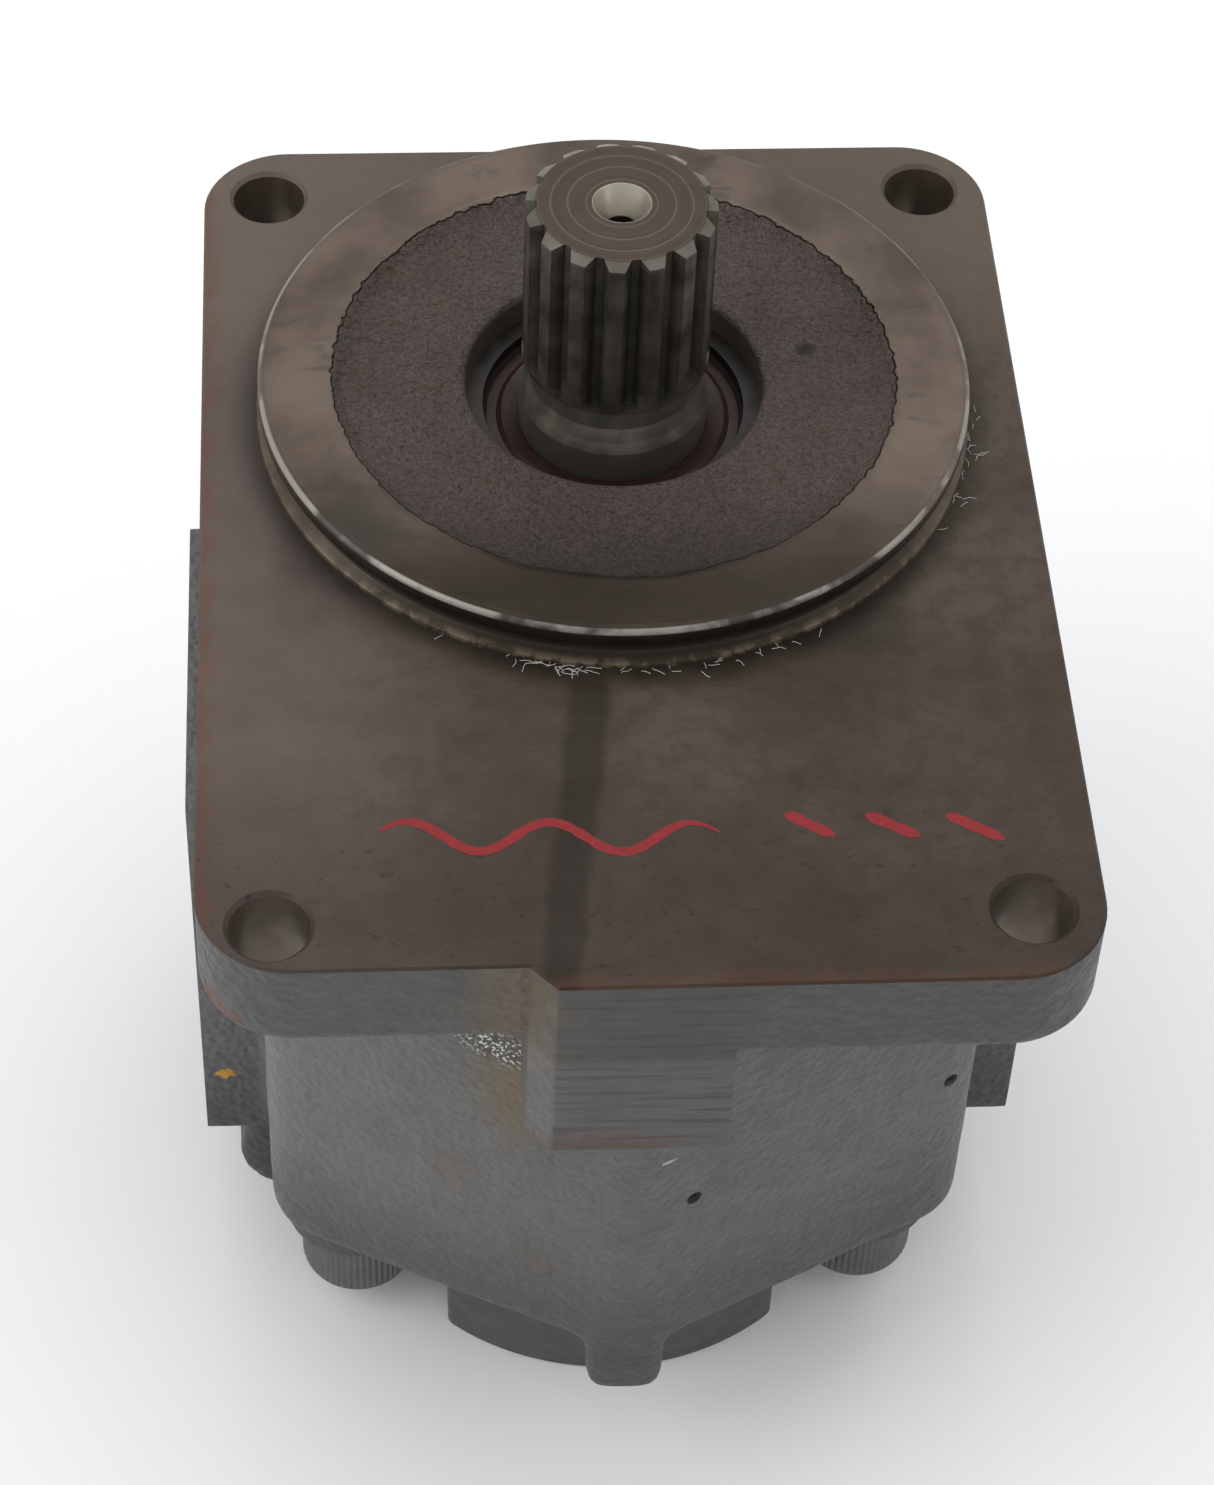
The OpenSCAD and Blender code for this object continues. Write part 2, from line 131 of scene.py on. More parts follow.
# Cutters run this far past the object
FAR = 160.0


# ---------- mesh helpers ----------

def make_object(name, verts, faces, smooth_angle=30.0):
    """A mesh object from millimetre vertices, smooth but for edges sharper than the angle."""
    mesh = bpy.data.meshes.new(name)
    mesh.from_pydata([Vector(v) * MM for v in verts], [], faces)
    mesh.update()
    obj = bpy.data.objects.new(name, mesh)
    bpy.context.collection.objects.link(obj)
    shade(obj, smooth_angle)
    return obj


def shade(obj, smooth_angle=30.0):
    """Smooth shading, with edges sharper than the angle kept crisp."""
    for polygon in obj.data.polygons:
        polygon.use_smooth = True
    obj.data.set_sharp_from_angle(angle=math.radians(smooth_angle))


def arc(cx, cy, r, start, end, steps=14):
    """Points of an arc, angles in degrees."""
    angles = [math.radians(start + (end - start) * i / steps) for i in range(steps + 1)]
    return [Vector((cx + r * math.cos(a), cy + r * math.sin(a))) for a in angles]


def inset(outline, distance):
    """The counter-clockwise outline moved inwards by a distance."""
    moved = []
    count = len(outline)
    for i, point in enumerate(outline):
        before = (point - outline[i - 1]).normalized()
        after = (outline[(i + 1) % count] - point).normalized()
        side = Vector((-before.y, before.x))
        normal = (side + Vector((-after.y, after.x))).normalized()
        moved.append(point + normal * (distance / max(0.5, normal.dot(side))))
    return moved


def stack(name, rings):
    """A closed solid through rings of points, each counter-clockwise, from the bottom up."""
    steps = len(rings[0])
    verts = [point for ring in rings for point in ring]
    faces = [[steps - 1 - i for i in range(steps)]]
    for level in range(len(rings) - 1):
        base = level * steps
        for i in range(steps):
            j = (i + 1) % steps
            faces.append([base + i, base + j, base + steps + j, base + steps + i])
    top = len(verts) - steps
    faces.append([top + i for i in range(steps)])
    return make_object(name, verts, faces)


def slab(name, outline, levels):
    """A closed slab through levels of (z, inset), from the bottom up."""
    return stack(name, [[(p.x, p.y, z) for p in inset(outline, distance)] for z, distance in levels])


def turned_plug(name, profile, steps=64):
    """A closed solid turned about Z from an open (r, z) profile running upwards."""
    last = 360 - 360 / steps
    return stack(name, [[(p.x, p.y, z) for p in arc(0, 0, r, 0, last, steps - 1)] for r, z in profile])


def round_edge(z, r, steps=5):
    """Levels of a slab's rounded lower edge of radius r, from the bottom face at z upwards."""
    turns = [math.pi / 2 * i / steps for i in range(steps + 1)]
    return [(z + r * (1 - math.cos(a)), r * (1 - math.sin(a))) for a in turns]


def lathe(name, profile, steps, wobble, smooth_angle):
    """A closed ring turned about Z from a closed (r, z) profile; wobble shifts each point."""
    verts, faces = [], []
    count = len(profile)
    for s in range(steps):
        a = 2 * math.pi * s / steps
        for r, z in profile:
            point = Vector((r * math.cos(a), r * math.sin(a), z))
            verts.append(wobble(point, r, z))
    for s in range(steps):
        for i in range(count):
            j = (i + 1) % count
            near, far = s * count, (s + 1) % steps * count
            faces.append([near + i, far + i, far + j, near + j])
    return make_object(name, verts, faces, smooth_angle)


def rod(name, r, start, end, steps=64):
    """A plain closed cylinder between two points, used for cutting and for blanks."""
    start, end = Vector(start), Vector(end)
    along = (end - start).normalized()
    across = along.orthogonal().normalized()
    other = along.cross(across)
    turns = [2 * math.pi * i / steps for i in range(steps)]
    circle = [across * (r * math.cos(a)) + other * (r * math.sin(a)) for a in turns]
    return stack(name, [[centre + reach for reach in circle] for centre in (start, end)])


def cuboid(name, low, high):
    """A box between its lowest and its highest corner."""
    verts = [(x, y, z) for x in (low[0], high[0]) for y in (low[1], high[1]) for z in (low[2], high[2])]
    faces = [[0, 1, 3, 2], [4, 6, 7, 5], [0, 4, 5, 1], [2, 3, 7, 6], [0, 2, 6, 4], [1, 5, 7, 3]]
    return make_object(name, verts, faces)


def hull(name, points):
    """The convex hull of some points."""
    shape = bmesh.new()
    for point in points:
        shape.verts.new(Vector(point) * MM)
    made = bmesh.ops.convex_hull(shape, input=shape.verts)
    spare = [v for v in made["geom_interior"] + made["geom_unused"] if isinstance(v, bmesh.types.BMVert)]
    bmesh.ops.delete(shape, geom=list(set(spare)), context="VERTS")
    mesh = bpy.data.meshes.new(name)
    shape.to_mesh(mesh)
    shape.free()
    obj = bpy.data.objects.new(name, mesh)
    bpy.context.collection.objects.link(obj)
    return obj


def ball_points(x, y, z, r, steps=12):
    """Points over the lower half of a ball."""
    points = [(x, y, z - r)]
    for ring in range(steps // 2):
        a = math.pi / 2 * ring / (steps // 2)
        points += [(p.x, p.y, z - r * math.sin(a)) for p in arc(x, y, r * math.cos(a), 0, 330, steps)]
    return points


def circle_points(x, y, z, r):
    """Points of a level circle."""
    return [(p.x, p.y, z) for p in arc(x, y, r, 0, 345, 23)]


def join(name, objects):
    """One object from several."""
    bpy.ops.object.select_all(action="DESELECT")
    for obj in objects:
        obj.select_set(True)
    bpy.context.view_layer.objects.active = objects[0]
    bpy.ops.object.join()
    objects[0].name = name
    objects[0].data.name = name
    return objects[0]


def apply_modifier(obj, kind, **settings):
    """Adds a modifier with these settings and applies it at once."""
    modifier = obj.modifiers.new(kind.lower(), kind)
    for key, value in settings.items():
        setattr(modifier, key, value)
    bpy.ops.object.select_all(action="DESELECT")
    bpy.context.view_layer.objects.active = obj
    obj.select_set(True)
    bpy.ops.object.modifier_apply(modifier=modifier.name)


def combine(obj, others, operation):
    """Joins the others to a closed mesh, or cuts them out of it, one after another."""
    for other in others:
        apply_modifier(obj, "BOOLEAN", operation=operation, object=other, solver="MANIFOLD")
        bpy.data.objects.remove(other)


def bevel(obj, width, segments, angle):
    """Rounds every edge sharper than the angle."""
    apply_modifier(
        obj, "BEVEL", width=width * MM, segments=segments, limit_method="ANGLE",
        angle_limit=math.radians(angle), harden_normals=False, use_clamp_overlap=True
    )


def cast_noise(point, size):
    """Smooth noise of about one bump per size millimetres."""
    return noise.noise(point / size)


# ---------- pieces ----------

def flange_outline():
    """The plate seen from above: rounded corners and a slanted step in the front edge."""
    left_front = flange_low.y + STEP_DEPTH
    right = flange_high.x - FLANGE_CORNER
    back = flange_high.y - FLANGE_CORNER
    outline = arc(right, back, FLANGE_CORNER, 0, 90)
    outline += arc(-right, back, FLANGE_CORNER, 90, 180)
    outline += arc(-right, left_front + FLANGE_CORNER, FLANGE_CORNER, 180, 270)
    outline += [Vector((STEP_LEFT, left_front)), Vector((STEP_RIGHT, flange_low.y))]
    outline += arc(right, flange_low.y + FLANGE_CORNER, FLANGE_CORNER, 270, 360)
    return outline


def prow_face(x):
    """Y of the body's slanted front faces at this x."""
    return PROW_Y + PROW_SLOPE * abs(x)


def make_flange():
    """Flange plate with the milled boss at its front edge and its four bolt holes."""
    upper_edge, lower_edge, boss_edge, chamfer = 0.35, 2.5, 0.7, 0.62
    levels = round_edge(-FLANGE_T, lower_edge) + [(-upper_edge, 0), (0, upper_edge)]
    plate = slab("flange_plate", flange_outline(), levels)

    front = flange_low.y
    boss_back = front + 22
    boss_outline = [
        Vector((STEP_LEFT, front + STEP_DEPTH)), Vector((STEP_RIGHT, front)), Vector((BOSS_RIGHT, front)),
        Vector((BOSS_RIGHT, boss_back)), Vector((STEP_LEFT, boss_back))
    ]
    boss_levels = [(flange_low.z, boss_edge), (flange_low.z + boss_edge, 0), (-FLANGE_T / 2, 0)]
    combine(plate, [slab("boss", boss_outline, boss_levels)], "UNION")

    body_outline = [(0, prow_face(0))]
    for x in (-SHOULDER_X, SHOULDER_X):
        body_outline += [(x, prow_face(x)), (x, 0)]
    body_room = hull("body_room", [(x, y, z) for z in (flange_low.z - 5, -FLANGE_T) for x, y in body_outline])
    holes = [body_room, rod("pilot_seat", PILOT_SEAT_R, (0, 0, -FLANGE_T - 5), (0, 0, 5), 192)]
    wide = HOLE_R + chamfer
    hole_profile = [(HOLE_R, -FLANGE_T - 1), (HOLE_R, -chamfer), (wide, 0), (wide, 1)]
    for x in (-HOLE_X, HOLE_X):
        for y in HOLE_Y:
            hole = turned_plug("bolt_hole", hole_profile, 96)
            hole.location = Vector((x, y, 0)) * MM
            holes.append(hole)
    combine(plate, holes, "DIFFERENCE")
    shade(plate, 32)
    return plate


def rough_recess(point, r, z):
    """Leaves the machined rings true and roughens the cast recess between them."""
    if not (SEAL_R + 0.4 < r < RECESS_R + 1.4 and z > RECESS_Z - 1):
        return point
    edge = (r - RECESS_R + 1.5) / 2.9
    coarse = cast_noise(point, 9.0) + 0.5 * cast_noise(point, 3.1)
    fine = cast_noise(point, 0.9)
    if edge > 0:
        shift = 1.0 + 0.016 * coarse + 0.005 * fine
        return Vector((point.x * shift, point.y * shift, point.z))
    fade = min(1.0, (r - SEAL_R) / 3)
    return point + Vector((0, 0, fade * (0.30 * coarse + 0.10 * fine)))


def make_pilot():
    """Pilot ring with its ground land and undercut, the cast recess and the seal bore."""
    base_r = PILOT_R + 0.35
    neck_r = PILOT_R - 1.5
    top = flange_high.z
    seat = PILOT_SEAT_R - 0.02
    profile = [
        (seat, -FLANGE_T + 0.1), (seat, -0.3), (base_r, -0.3), (base_r, 0.55), (base_r - 0.25, 0.8),
        (neck_r + 0.3, 1.35), (neck_r, 1.7), (neck_r, 4.0), (neck_r + 0.3, 4.2), (PILOT_R - 0.15, 4.3),
        (PILOT_R, 4.45), (PILOT_R, 6.55), (PILOT_R - 0.55, top)
    ]
    flat_end = RECESS_R + 1.5
    profile += [(PILOT_R - 0.55 - i, top) for i in range(1, 10)]
    profile += [
        (flat_end, top), (RECESS_R + 0.9, top - 0.06), (RECESS_R + 0.3, top - 0.35),
        (RECESS_R - 0.3, top - 0.85), (RECESS_R - 1.0, top - 1.3), (RECESS_R - 2.0, top - 1.52)
    ]
    ring = RECESS_R - 2.6
    while ring > SEAL_R + 0.9:
        profile.append((ring, RECESS_Z))
        ring -= 0.65
    profile += [(SEAL_R + 0.4, RECESS_Z), (SEAL_R, RECESS_Z - 0.4)]
    profile += [(SEAL_R, z) for z in (4.0, 2.0, 0.0, -2.0, -5.0)]
    profile += [(SEAL_R, SEAL_FLOOR_Z), (SHAFT_HOLE_R, SEAL_FLOOR_Z), (SHAFT_HOLE_R, -FLANGE_T + 0.1)]
    return lathe("pilot", profile, 320, rough_recess, 62)


def body_blank():
    """Rough casting of the gear body: every lump joined, its edges and corners melted round."""
    corner, prow = 9.0, 6.0
    lean = math.cos(math.atan(PROW_SLOPE))
    half = MID_Y - PROW_Y
    top = -FLANGE_T + 3
    sx = SHOULDER_X - corner
    sy = half - sx * PROW_SLOPE - corner / lean
    py = half - prow / lean
    points = []
    for x, y, r in [(sx, sy, corner), (-sx, sy, corner), (0, py, prow)]:
        for side in (-1, 1):
            points += ball_points(x, MID_Y + side * y, BODY_BOTTOM + corner, r)
            points += circle_points(x, MID_Y + side * y, top, r)
    parts = [hull("block", points)]

    lug, lug_r = [], 3
    for x in (-3.2, 3.2):
        for y in (PROW_Y + 4.4, PROW_Y + 16.4):
            lug += ball_points(x, y, REAR_LUG_Z + lug_r, lug_r)
            lug += circle_points(x, y, REAR_LUG_Z + 22, lug_r)
    parts.append(hull("lug", lug))

    spare = 2.0
    pad_x = body_high.x + spare
    pad_corner = Vector((pad_x, PAD_W / 2, PAD_H / 2))
    pad_centre = Vector((0, MID_Y, PORT_Z))
    parts.append(cuboid("pads", pad_centre - pad_corner, pad_centre + pad_corner))

    core_bottom = cap_high.z - spare
    core_top = BODY_BOTTOM + 10
    core_x = 44
    for y in (0, IDLER_Y):
        parts.append(rod("core", CHAMBER_R + 5, (0, y, core_bottom), (0, y, core_top)))
    parts.append(cuboid("core", (-core_x, DRAIN_Y[0], core_bottom), (core_x, DRAIN_Y[1], core_top)))
    for x in (-BOLT_X, BOLT_X):
        for y in BOLT_Y:
            parts.append(rod("ear", EAR_R, (x, y, washer_high.z - 0.3), (x, y, core_top + 4)))
    parts.append(rod("drain", DRAIN_BOSS_R, (DRAIN_X, DRAIN_Y[0], DRAIN_Z), (DRAIN_X, DRAIN_Y[1], DRAIN_Z)))
    return join("gear_body_casting", parts)


def slice_off(obj, point, normal):
    """Cuts everything past a plane off a closed object and closes it with one flat face."""
    shape = bmesh.new()
    shape.from_mesh(obj.data)
    cut = bmesh.ops.bisect_plane(
        shape, geom=shape.verts[:] + shape.edges[:] + shape.faces[:], dist=1e-7,
        plane_co=Vector(point) * MM, plane_no=Vector(normal), clear_outer=True
    )
    rim = [part for part in cut["geom_cut"] if isinstance(part, bmesh.types.BMEdge)]
    bmesh.ops.contextual_create(shape, geom=rim)
    shape.to_mesh(obj.data)
    shape.free()


def turned_countersink(side, pad_x, y, z):
    """A shallow cone that breaks the edge of a tapped hole in a port pad."""
    cone = turned_plug("countersink", [(4.2, -0.8), (5.1, 0.1), (5.1, 1.0)], 48)
    cone.matrix_world = Matrix.Translation(Vector((side * pad_x, y, z)) * MM) @ Matrix.Rotation(
        side * math.pi / 2, 4, "Y"
    )
    return cone


def port_cutters(side):
    """The mouth of one port and the four tapped holes round it."""
    pad_x = body_high.x
    thread_r, thread_depth = 4.25, 16
    mouth = (side * (pad_x - PORT_MOUTH), MID_Y, PORT_Z)
    cutters = [rod("port_mouth", PORT_R, mouth, (side * FAR, MID_Y, PORT_Z), 96)]
    for a in (45, 135, 225, 315):
        y = MID_Y + PORT_PCD / 2 * math.cos(math.radians(a))
        z = PORT_Z + PORT_PCD / 2 * math.sin(math.radians(a))
        thread_end = (side * (pad_x - thread_depth), y, z)
        cutters.append(rod("port_thread", thread_r, thread_end, (side * FAR, y, z), 48))
        cutters.append(turned_countersink(side, pad_x, y, z))
    return cutters


def machine_body(casting):
    """Cuts the faces and holes that are machined into the rough casting."""
    slice_off(casting, (0, 0, -FLANGE_T), (0, 0, 1))
    for side in (-1, 1):
        slice_off(casting, (side * body_high.x, 0, 0), (side, 0, 0))
    half_width, reach = 27, 36
    cutters = [cuboid("rear_face", (-half_width, IDLER_Y - reach, -FAR), (half_width, reach, cap_high.z))]
    for x in (-BOLT_X, BOLT_X):
        for y in BOLT_Y:
            cutters.append(rod("spot_face", BOLT_R + 1, (x, y, -FAR), (x, y, washer_high.z)))
    for y in (0, IDLER_Y):
        cutters.append(rod("chamber", CHAMBER_R, (0, y, CHAMBER_FLOOR), (0, y, 0), 128))
    cutters.append(rod("oil_way", OIL_WAY_R, (-FAR, MID_Y, PORT_Z), (FAR, MID_Y, PORT_Z), 96))
    cutters += port_cutters(-1) + port_cutters(1)

    flat_r, drain_r, drain_depth = 8, 5.25, 12
    drain = Vector((DRAIN_FLAT_X, DRAIN_HOLE_Y, DRAIN_Z))
    inwards = Vector((1, 0, 0))
    cutters.append(rod("drain_flat", flat_r, drain - inwards * FAR, drain))
    cutters.append(rod("drain_hole", drain_r, drain - inwards, drain + inwards * drain_depth, 48))

    rivet_r, rivet_depth = 1.25, 6
    out = Vector((PROW_SLOPE, -1, 0)).normalized() * rivet_depth
    for x in RIVET_X:
        face_point = Vector((x, prow_face(x), PORT_Z))
        cutters.append(rod("rivet_hole", rivet_r, face_point - out, face_point + out, 32))
    combine(cutters[0], cutters[1:], "UNION")
    combine(casting, cutters[:1], "DIFFERENCE")


def make_body():
    """Gear body: one blended casting with slightly uneven walls, then machined."""
    voxel, bow, ripple, shrink = 0.9, 0.16, 0.07, 0.2
    casting = body_blank()
    apply_modifier(casting, "REMESH", mode="VOXEL", voxel_size=voxel * MM)
    apply_modifier(casting, "SMOOTH", factor=0.5, iterations=16)
    normals = [vertex.normal.copy() for vertex in casting.data.vertices]
    for vertex, normal in zip(casting.data.vertices, normals):
        point = vertex.co / MM
        uneven = bow * cast_noise(point, 14.0) + ripple * cast_noise(point, 4.0)
        vertex.co += normal * ((uneven - shrink) * MM)
    machine_body(casting)
    shade(casting, 38)
    return casting


def make_cap():
    """Machined rear cap: two arcs between two flats, with counterbores for its screws."""
    r, shift = 41.0, 16.0
    angle = math.degrees(math.acos(cap_high.x / r))
    outline = arc(0, MID_Y - shift, r, 180 + angle, 360 - angle, 28)
    outline += arc(0, MID_Y + shift, r, angle, 180 - angle, 28)
    cap = slab("rear_cap_block", outline, [(cap_low.z, 0), (cap_high.z, 0)])
    bevel(cap, 0.8, 3, 28)
    depth, play = 5, 0.5
    cuts = []
    for x in (screw_low.x + SCREW_R, screw_high.x - SCREW_R):
        for y in (screw_low.y + SCREW_R, screw_high.y - SCREW_R):
            bottom, top = (x, y, cap_low.z - depth), (x, y, cap_low.z + depth)
            cuts.append(rod("counterbore", SCREW_R + play, bottom, top))
    combine(cap, cuts, "DIFFERENCE")
    shade(cap, 28)
    return cap


def knurled_bolt(x, y):
    """A socket-head bolt, head down: knurled side, chamfered rim and hexagon socket."""
    teeth, knurl = 54, 0.3
    shank_r = 6.0
    key_r = 5.0 / math.cos(math.pi / 6)
    head = bolt_low.z
    seat = washer_low.z
    profile = [(7.9, head, 0), (8.75, head + 0.6, 0)]
    profile += [(BOLT_R, z, knurl) for z in (head + 1.3, head + 2.5, seat - 1.5, seat - 0.8)]
    profile += [(8.6, seat - 0.4, 0), (8.4, seat, 0), (shank_r, seat, 0), (shank_r, bolt_high.z, 0)]
    rings = []
    for r, z, depth in profile:
        ring = []
        for i in range(teeth * 2):
            a = math.pi * i / teeth
            reach = r - depth * (i % 2)
            ring.append((x + reach * math.cos(a), y + reach * math.sin(a), z))
        rings.append(ring)
    bolt = stack("bolt", rings)
    combine(bolt, [rod("socket", key_r, (x, y, head - 2), (x, y, head + 6), 6)], "DIFFERENCE")
    return bolt


def make_bolts():
    """All the body bolts as one piece."""
    bolts = [knurled_bolt(x, y) for x in (-BOLT_X, BOLT_X) for y in BOLT_Y]
    bolts = join("knurled_bolts", bolts)
    shade(bolts, 20)
    return bolts


def ribbon(points, width, lift, seed):
    """Vertices and faces of a hand-laid paint stroke on the flange face."""
    verts, faces = [], []
    for i, point in enumerate(points):
        ahead = points[min(i + 1, len(points) - 1)] - points[max(i - 1, 0)]
        side = Vector((-ahead.y, ahead.x)).normalized()
        along = i / (len(points) - 1)
        body = min(1.0, 6 * along + 0.35, 5 * (1 - along) + 0.2)
        rough = 1 + 0.25 * noise.noise(Vector((i * 0.9, seed, 0)))
        reach = side * (width / 2 * body * rough)
        verts += [(point.x + reach.x, point.y + reach.y, lift), (point.x - reach.x, point.y - reach.y, lift)]
    for i in range(len(points) - 1):
        faces.append([2 * i, 2 * i + 1, 2 * i + 3, 2 * i + 2])
    return verts, faces


def make_paint_marks():
    """Red paint-marker strokes without any lettering: one loose wave and three dashes."""
    wave_width, dash_width, lift = 1.5, 1.8, 0.03
    wave = []
    for i in range(61):
        t = i / 60
        wave.append(Vector((-36 + 46 * t, -82.5 - 1.5 * t + 2.6 * math.sin(t * 15 + 0.4))))
    strokes = [(wave, wave_width)]
    for start, end in [((19, -80), (25.5, -84.2)), ((30, -80.5), (37, -84.6)), ((41, -80.8), (48.5, -85.4))]:
        dash = [Vector(start).lerp(Vector(end), i / 16) for i in range(17)]
        strokes.append((dash, dash_width))
    verts, faces = [], []
    for number, (points, width) in enumerate(strokes):
        stroke_verts, stroke_faces = ribbon(points, width, lift, number * 7.3)
        base = len(verts)
        verts += stroke_verts
        faces += [[base + i for i in face] for face in stroke_faces]
    return make_object("red_paint_marks", verts, faces)


def make_lint():
    """Fine pale fibres and swarf caught round the foot of the pilot."""
    fibres, thickness, start_z = 64, 0.04, 0.12
    dice = random.Random(7)
    curve = bpy.data.curves.new("lint", "CURVE")
    curve.dimensions = "3D"
    curve.bevel_depth = thickness * MM
    curve.bevel_resolution = 1
    for _ in range(fibres):
        a = math.radians(dice.choice([dice.gauss(257, 4), dice.gauss(278, 12), dice.gauss(345, 8)]))
        r = PILOT_R + 0.5 + abs(dice.gauss(0, 0.8))
        here = Vector((r * math.cos(a), r * math.sin(a), start_z))
        heading = a + math.pi / 2 + dice.gauss(0, 0.7)
        spline = curve.splines.new("POLY")
        count = dice.randint(5, 10)
        spline.points.add(count - 1)
        for point in spline.points:
            point.co = (*(here * MM), 1)
            heading += dice.gauss(0, 0.25)
            here += Vector((math.cos(heading), math.sin(heading), 0)) * dice.uniform(0.15, 0.42)
            here.z = start_z + 0.25 * abs(noise.noise(here))
    lint = bpy.data.objects.new("lint_fibres", curve)
    bpy.context.collection.objects.link(lint)
    return lint


# ---------- materials ----------

RUST = (0.105, 0.034, 0.014)
DARK_OIL = (0.016, 0.012, 0.009)


class Material:
    """A node material whose look is worked out from place on the object.

    Sizes, distances and heights are in millimetres, and masks run from 0 to 1.
    """

    def __init__(self, name, roughness=0.5, metallic=0.0, specular=0.5):
        self.material = bpy.data.materials.new(name)
        self.material.use_nodes = True
        self.tree = self.material.node_tree
        self.shader = self.tree.nodes["Principled BSDF"]
        self.shader.inputs["Roughness"].default_value = roughness
        self.shader.inputs["Metallic"].default_value = metallic
        self.shader.inputs["Specular IOR Level"].default_value = specular
        place = self.node("ShaderNodeTexCoord").outputs["Object"]
        self.mm = self.vector("SCALE", place, scale=1 / MM)

    def node(self, kind, **settings):
        """A new node with these settings."""
        made = self.tree.nodes.new(kind)
        for key, value in settings.items():
            setattr(made, key, value)
        return made

    def join(self, source, socket):
        """Links a node's output to a socket, or sets the socket to a plain value."""
        if isinstance(source, bpy.types.NodeSocket):
            self.tree.links.new(source, socket)
        elif source is not None:
            socket.default_value = source

    def vector(self, operation, first, second=None, scale=None):
        """The result of a vector operation."""
        made = self.node("ShaderNodeVectorMath", operation=operation)
        self.join(first, made.inputs[0])
        self.join(second, made.inputs[1])
        if scale is not None:
            self.join(scale, made.inputs["Scale"])
        return made.outputs["Value"] if operation in ("DISTANCE", "LENGTH") else made.outputs["Vector"]

    def math(self, operation, first, second=None, clamp=False):
        """The result of an operation on numbers."""
        made = self.node("ShaderNodeMath", operation=operation, use_clamp=clamp)
        self.join(first, made.inputs[0])
        self.join(second, made.inputs[1])
        return made.outputs["Value"]

    def stretched(self, x, y, z):
        """Place on the object, multiplied along each axis, to draw a pattern out."""
        return self.vector("MULTIPLY", self.mm, (x, y, z))

    def noise(self, size, detail=3.0, roughness=0.55, where=None, distortion=0.0):
        """Noise between 0 and 1 with about one blotch per size millimetres."""
        made = self.node("ShaderNodeTexNoise")
        self.join(where or self.mm, made.inputs["Vector"])
        made.inputs["Scale"].default_value = 1 / size
        made.inputs["Detail"].default_value = detail
        made.inputs["Roughness"].default_value = roughness
        made.inputs["Distortion"].default_value = distortion
        return made.outputs["Fac"]

    def cells(self, size, smoothness):
        """Rounded cells of about this size, 0 in the middle of each."""
        made = self.node("ShaderNodeTexVoronoi", feature="SMOOTH_F1")
        self.join(self.mm, made.inputs["Vector"])
        made.inputs["Scale"].default_value = 1 / size
        made.inputs["Smoothness"].default_value = smoothness
        return made.outputs["Distance"]

    def range(self, value, low, high, to_low=0.0, to_high=1.0):
        """The value eased from one range to another, and held past the ends."""
        made = self.node("ShaderNodeMapRange", interpolation_type="SMOOTHSTEP")
        self.join(value, made.inputs["Value"])
        made.inputs["From Min"].default_value = low
        made.inputs["From Max"].default_value = high
        made.inputs["To Min"].default_value = to_low
        made.inputs["To Max"].default_value = to_high
        return made.outputs["Result"]

    def mix(self, amount, first, second):
        """The first colour where the amount is 0, the second where it is 1."""
        made = self.node("ShaderNodeMix", data_type="RGBA")
        self.join(amount, made.inputs[0])
        self.join((*first, 1) if isinstance(first, tuple) else first, made.inputs[6])
        self.join((*second, 1) if isinstance(second, tuple) else second, made.inputs[7])
        return made.outputs[2]

    def tint(self, color, mask, amount, tone):
        """The colour, taken part of the way to a tone where the mask is 1."""
        return self.mix(self.math("MULTIPLY", mask, amount), color, tone)

    def ragged(self, value, size, detail, reach):
        """The value raised unevenly by up to its reach, which makes an edge drawn from it ragged."""
        return self.math("ADD", value, self.math("MULTIPLY", self.noise(size, detail), reach))

    def near(self, point, radius, soft, ragged=0.0, size=3.0, stretch=(1, 1, 1)):
        """1 near a point, falling to 0 past a ragged edge."""
        place = self.stretched(*stretch)
        centre = tuple(p * s for p, s in zip(point, stretch))
        distance = self.vector("DISTANCE", place, centre)
        wander = self.math("MULTIPLY", self.math("SUBTRACT", self.noise(size, 4), 0.5), ragged * 2)
        return self.range(self.math("ADD", distance, wander), radius - soft, radius + soft, 1.0, 0.0)

    def axis(self, name):
        """Place along X, Y or Z."""
        made = self.node("ShaderNodeSeparateXYZ")
        self.join(self.mm, made.inputs[0])
        return made.outputs[name]

    def radius(self):
        """Distance from the shaft's axis."""
        return self.vector("LENGTH", self.stretched(1, 1, 0))

    def both(self, first, second):
        """1 where both masks are 1."""
        return self.math("MULTIPLY", first, second, clamp=True)

    def bump(self, *layers):
        """Stacks height layers of (height, strength, distance in millimetres)."""
        normal = None
        for height, strength, distance in layers:
            made = self.node("ShaderNodeBump")
            made.inputs["Strength"].default_value = strength
            made.inputs["Distance"].default_value = distance * MM
            self.join(height, made.inputs["Height"])
            if normal:
                self.join(normal, made.inputs["Normal"])
            normal = made.outputs["Normal"]
        self.join(normal, self.shader.inputs["Normal"])

    def finish(self, color, roughness=None, metallic=None):
        """The material with this colour and, where given, uneven gloss and metal."""
        self.join(color, self.shader.inputs["Base Color"])
        if roughness is not None:
            self.join(roughness, self.shader.inputs["Roughness"])
        if metallic is not None:
            self.join(metallic, self.shader.inputs["Metallic"])
        return self.material


